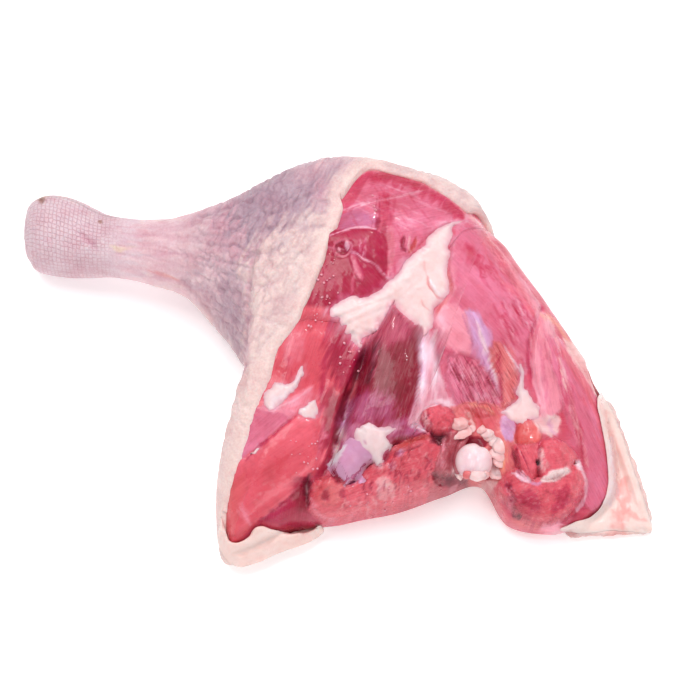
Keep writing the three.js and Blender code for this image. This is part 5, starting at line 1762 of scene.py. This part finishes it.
# Beads: two corners of each spot in the picture, and how many lie there.
BEAD_SPOTS = (((316, 252), (338, 304), 26), ((308, 312), (324, 328), 8), ((340, 326), (364, 376), 14),
              ((372, 184), (380, 212), 4), ((290, 440), (320, 476), 16), ((340, 486), (420, 512), 18))
BEADS = wet_material("juice", FIBRES, 0.3, (1.0, 0.3, 0.25), 1.0, 0.0, {}, 0.03)
draw = np.random.default_rng(7)
beads = []
for low, high, count in BEAD_SPOTS:
    for at in draw.uniform(low, high, (count, 2)):
        size = draw.uniform(0.15, 0.42)
        beads.append((lump(at, (size, size, 0.7 * size), 0.25, 17, 7, 0.0), PINK))
tissue("juice_beads", beads, BEADS)

# %% The thigh bone
BONE_LOOK = wet_material("bone end", FIBRES, 0.3, (1.0, 0.6, 0.5), 0.6, 0.15,
                         {"Dark": (0.9, 0.7, 0.7, 1), "Pale": (0.97, 0.92, 0.92, 1)}, 0.06)
BONE_TINT = (246, 216, 222)
SADDLE_DEPTH, SADDLE_WIDTH = 0.55, 0.22
ball = BALL + BALL_RADIUS * sphere(61)
way = (ball - BALL) / BALL_RADIUS
saddle = SADDLE_DEPTH * np.exp(-((way[..., 0] - 0.15 - 0.3 * way[..., 1]) / SADDLE_WIDTH) ** 2)
ball = BALL + way * (BALL_RADIUS - 0.1 + cloud(ball, 6, 81, 2) * 0.2 - saddle)[..., None]
mottle = cloud(ball.reshape(-1, 3), 4, 82, 2)[:, None]
tint = np.array(BONE_TINT) / 255 * (1 + mottle * np.array([0.03, 0.10, 0.07]))
bone = build("bone_ball", [(ball, False)], tint, ball.reshape(-1, 3))
bone.data.materials.append(BONE_LOOK)
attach(bone, "root")
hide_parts("thigh_bone")

# %% [markdown]
# ## Floor and light
# The photograph is taken on white, in bright soft light from above and behind, which leaves hardly
# any shadow. The floor is a wide white disc, and the light comes from three large soft lamps, a
# small one for the wet glints, and a pale surrounding. The floor glows a little, so that it stays white.

# %% Floor, lamps and world
bpy.ops.mesh.primitive_circle_add(vertices=96, radius=3.0, fill_type="NGON", location=(0, 0, -0.0002))
floor = bpy.context.object
floor.name = "floor"
white = bpy.data.materials.new("white floor")
white.use_nodes = True
white.node_tree.nodes["Principled BSDF"].inputs["Base Color"].default_value = (0.95, 0.95, 0.95, 1)
white.node_tree.nodes["Principled BSDF"].inputs["Roughness"].default_value = 0.9
white.node_tree.nodes["Principled BSDF"].inputs["Emission Color"].default_value = (1, 1, 1, 1)
white.node_tree.nodes["Principled BSDF"].inputs["Emission Strength"].default_value = 0.3
floor.data.materials.append(white)


def lamp(name, place, size, power, colour=(1, 1, 1)):
    """A square area light at a place in metres that shines at the leg."""
    light = bpy.data.lights.new(name, "AREA")
    light.shape, light.size, light.energy, light.color = "SQUARE", size, power, colour
    lit = bpy.data.objects.new(name, light)
    lit.location = place
    away = np.array(place) / np.linalg.norm(place)
    lit.rotation_euler = (np.arccos(away[2]), 0, np.arctan2(away[1], away[0]) + np.pi / 2)
    bpy.context.scene.collection.objects.link(lit)
    return lit


lamp("key", (-0.30, 0.10, 0.95), 0.5, 4.4)
lamp("glint", (0.12, 0.45, 0.80), 0.06, 1.8)
lamp("front", (0.35, -0.75, 0.70), 0.5, 2.9)
lamp("side", (0.75, 0.35, 0.55), 0.4, 1.4)
world = bpy.data.worlds.new("studio")
bpy.context.scene.world = world
world.use_nodes = True
world.node_tree.nodes["Background"].inputs["Color"].default_value = (1, 1, 1, 1)
world.node_tree.nodes["Background"].inputs["Strength"].default_value = 0.4
bpy.context.scene.view_settings.view_transform = "Standard"
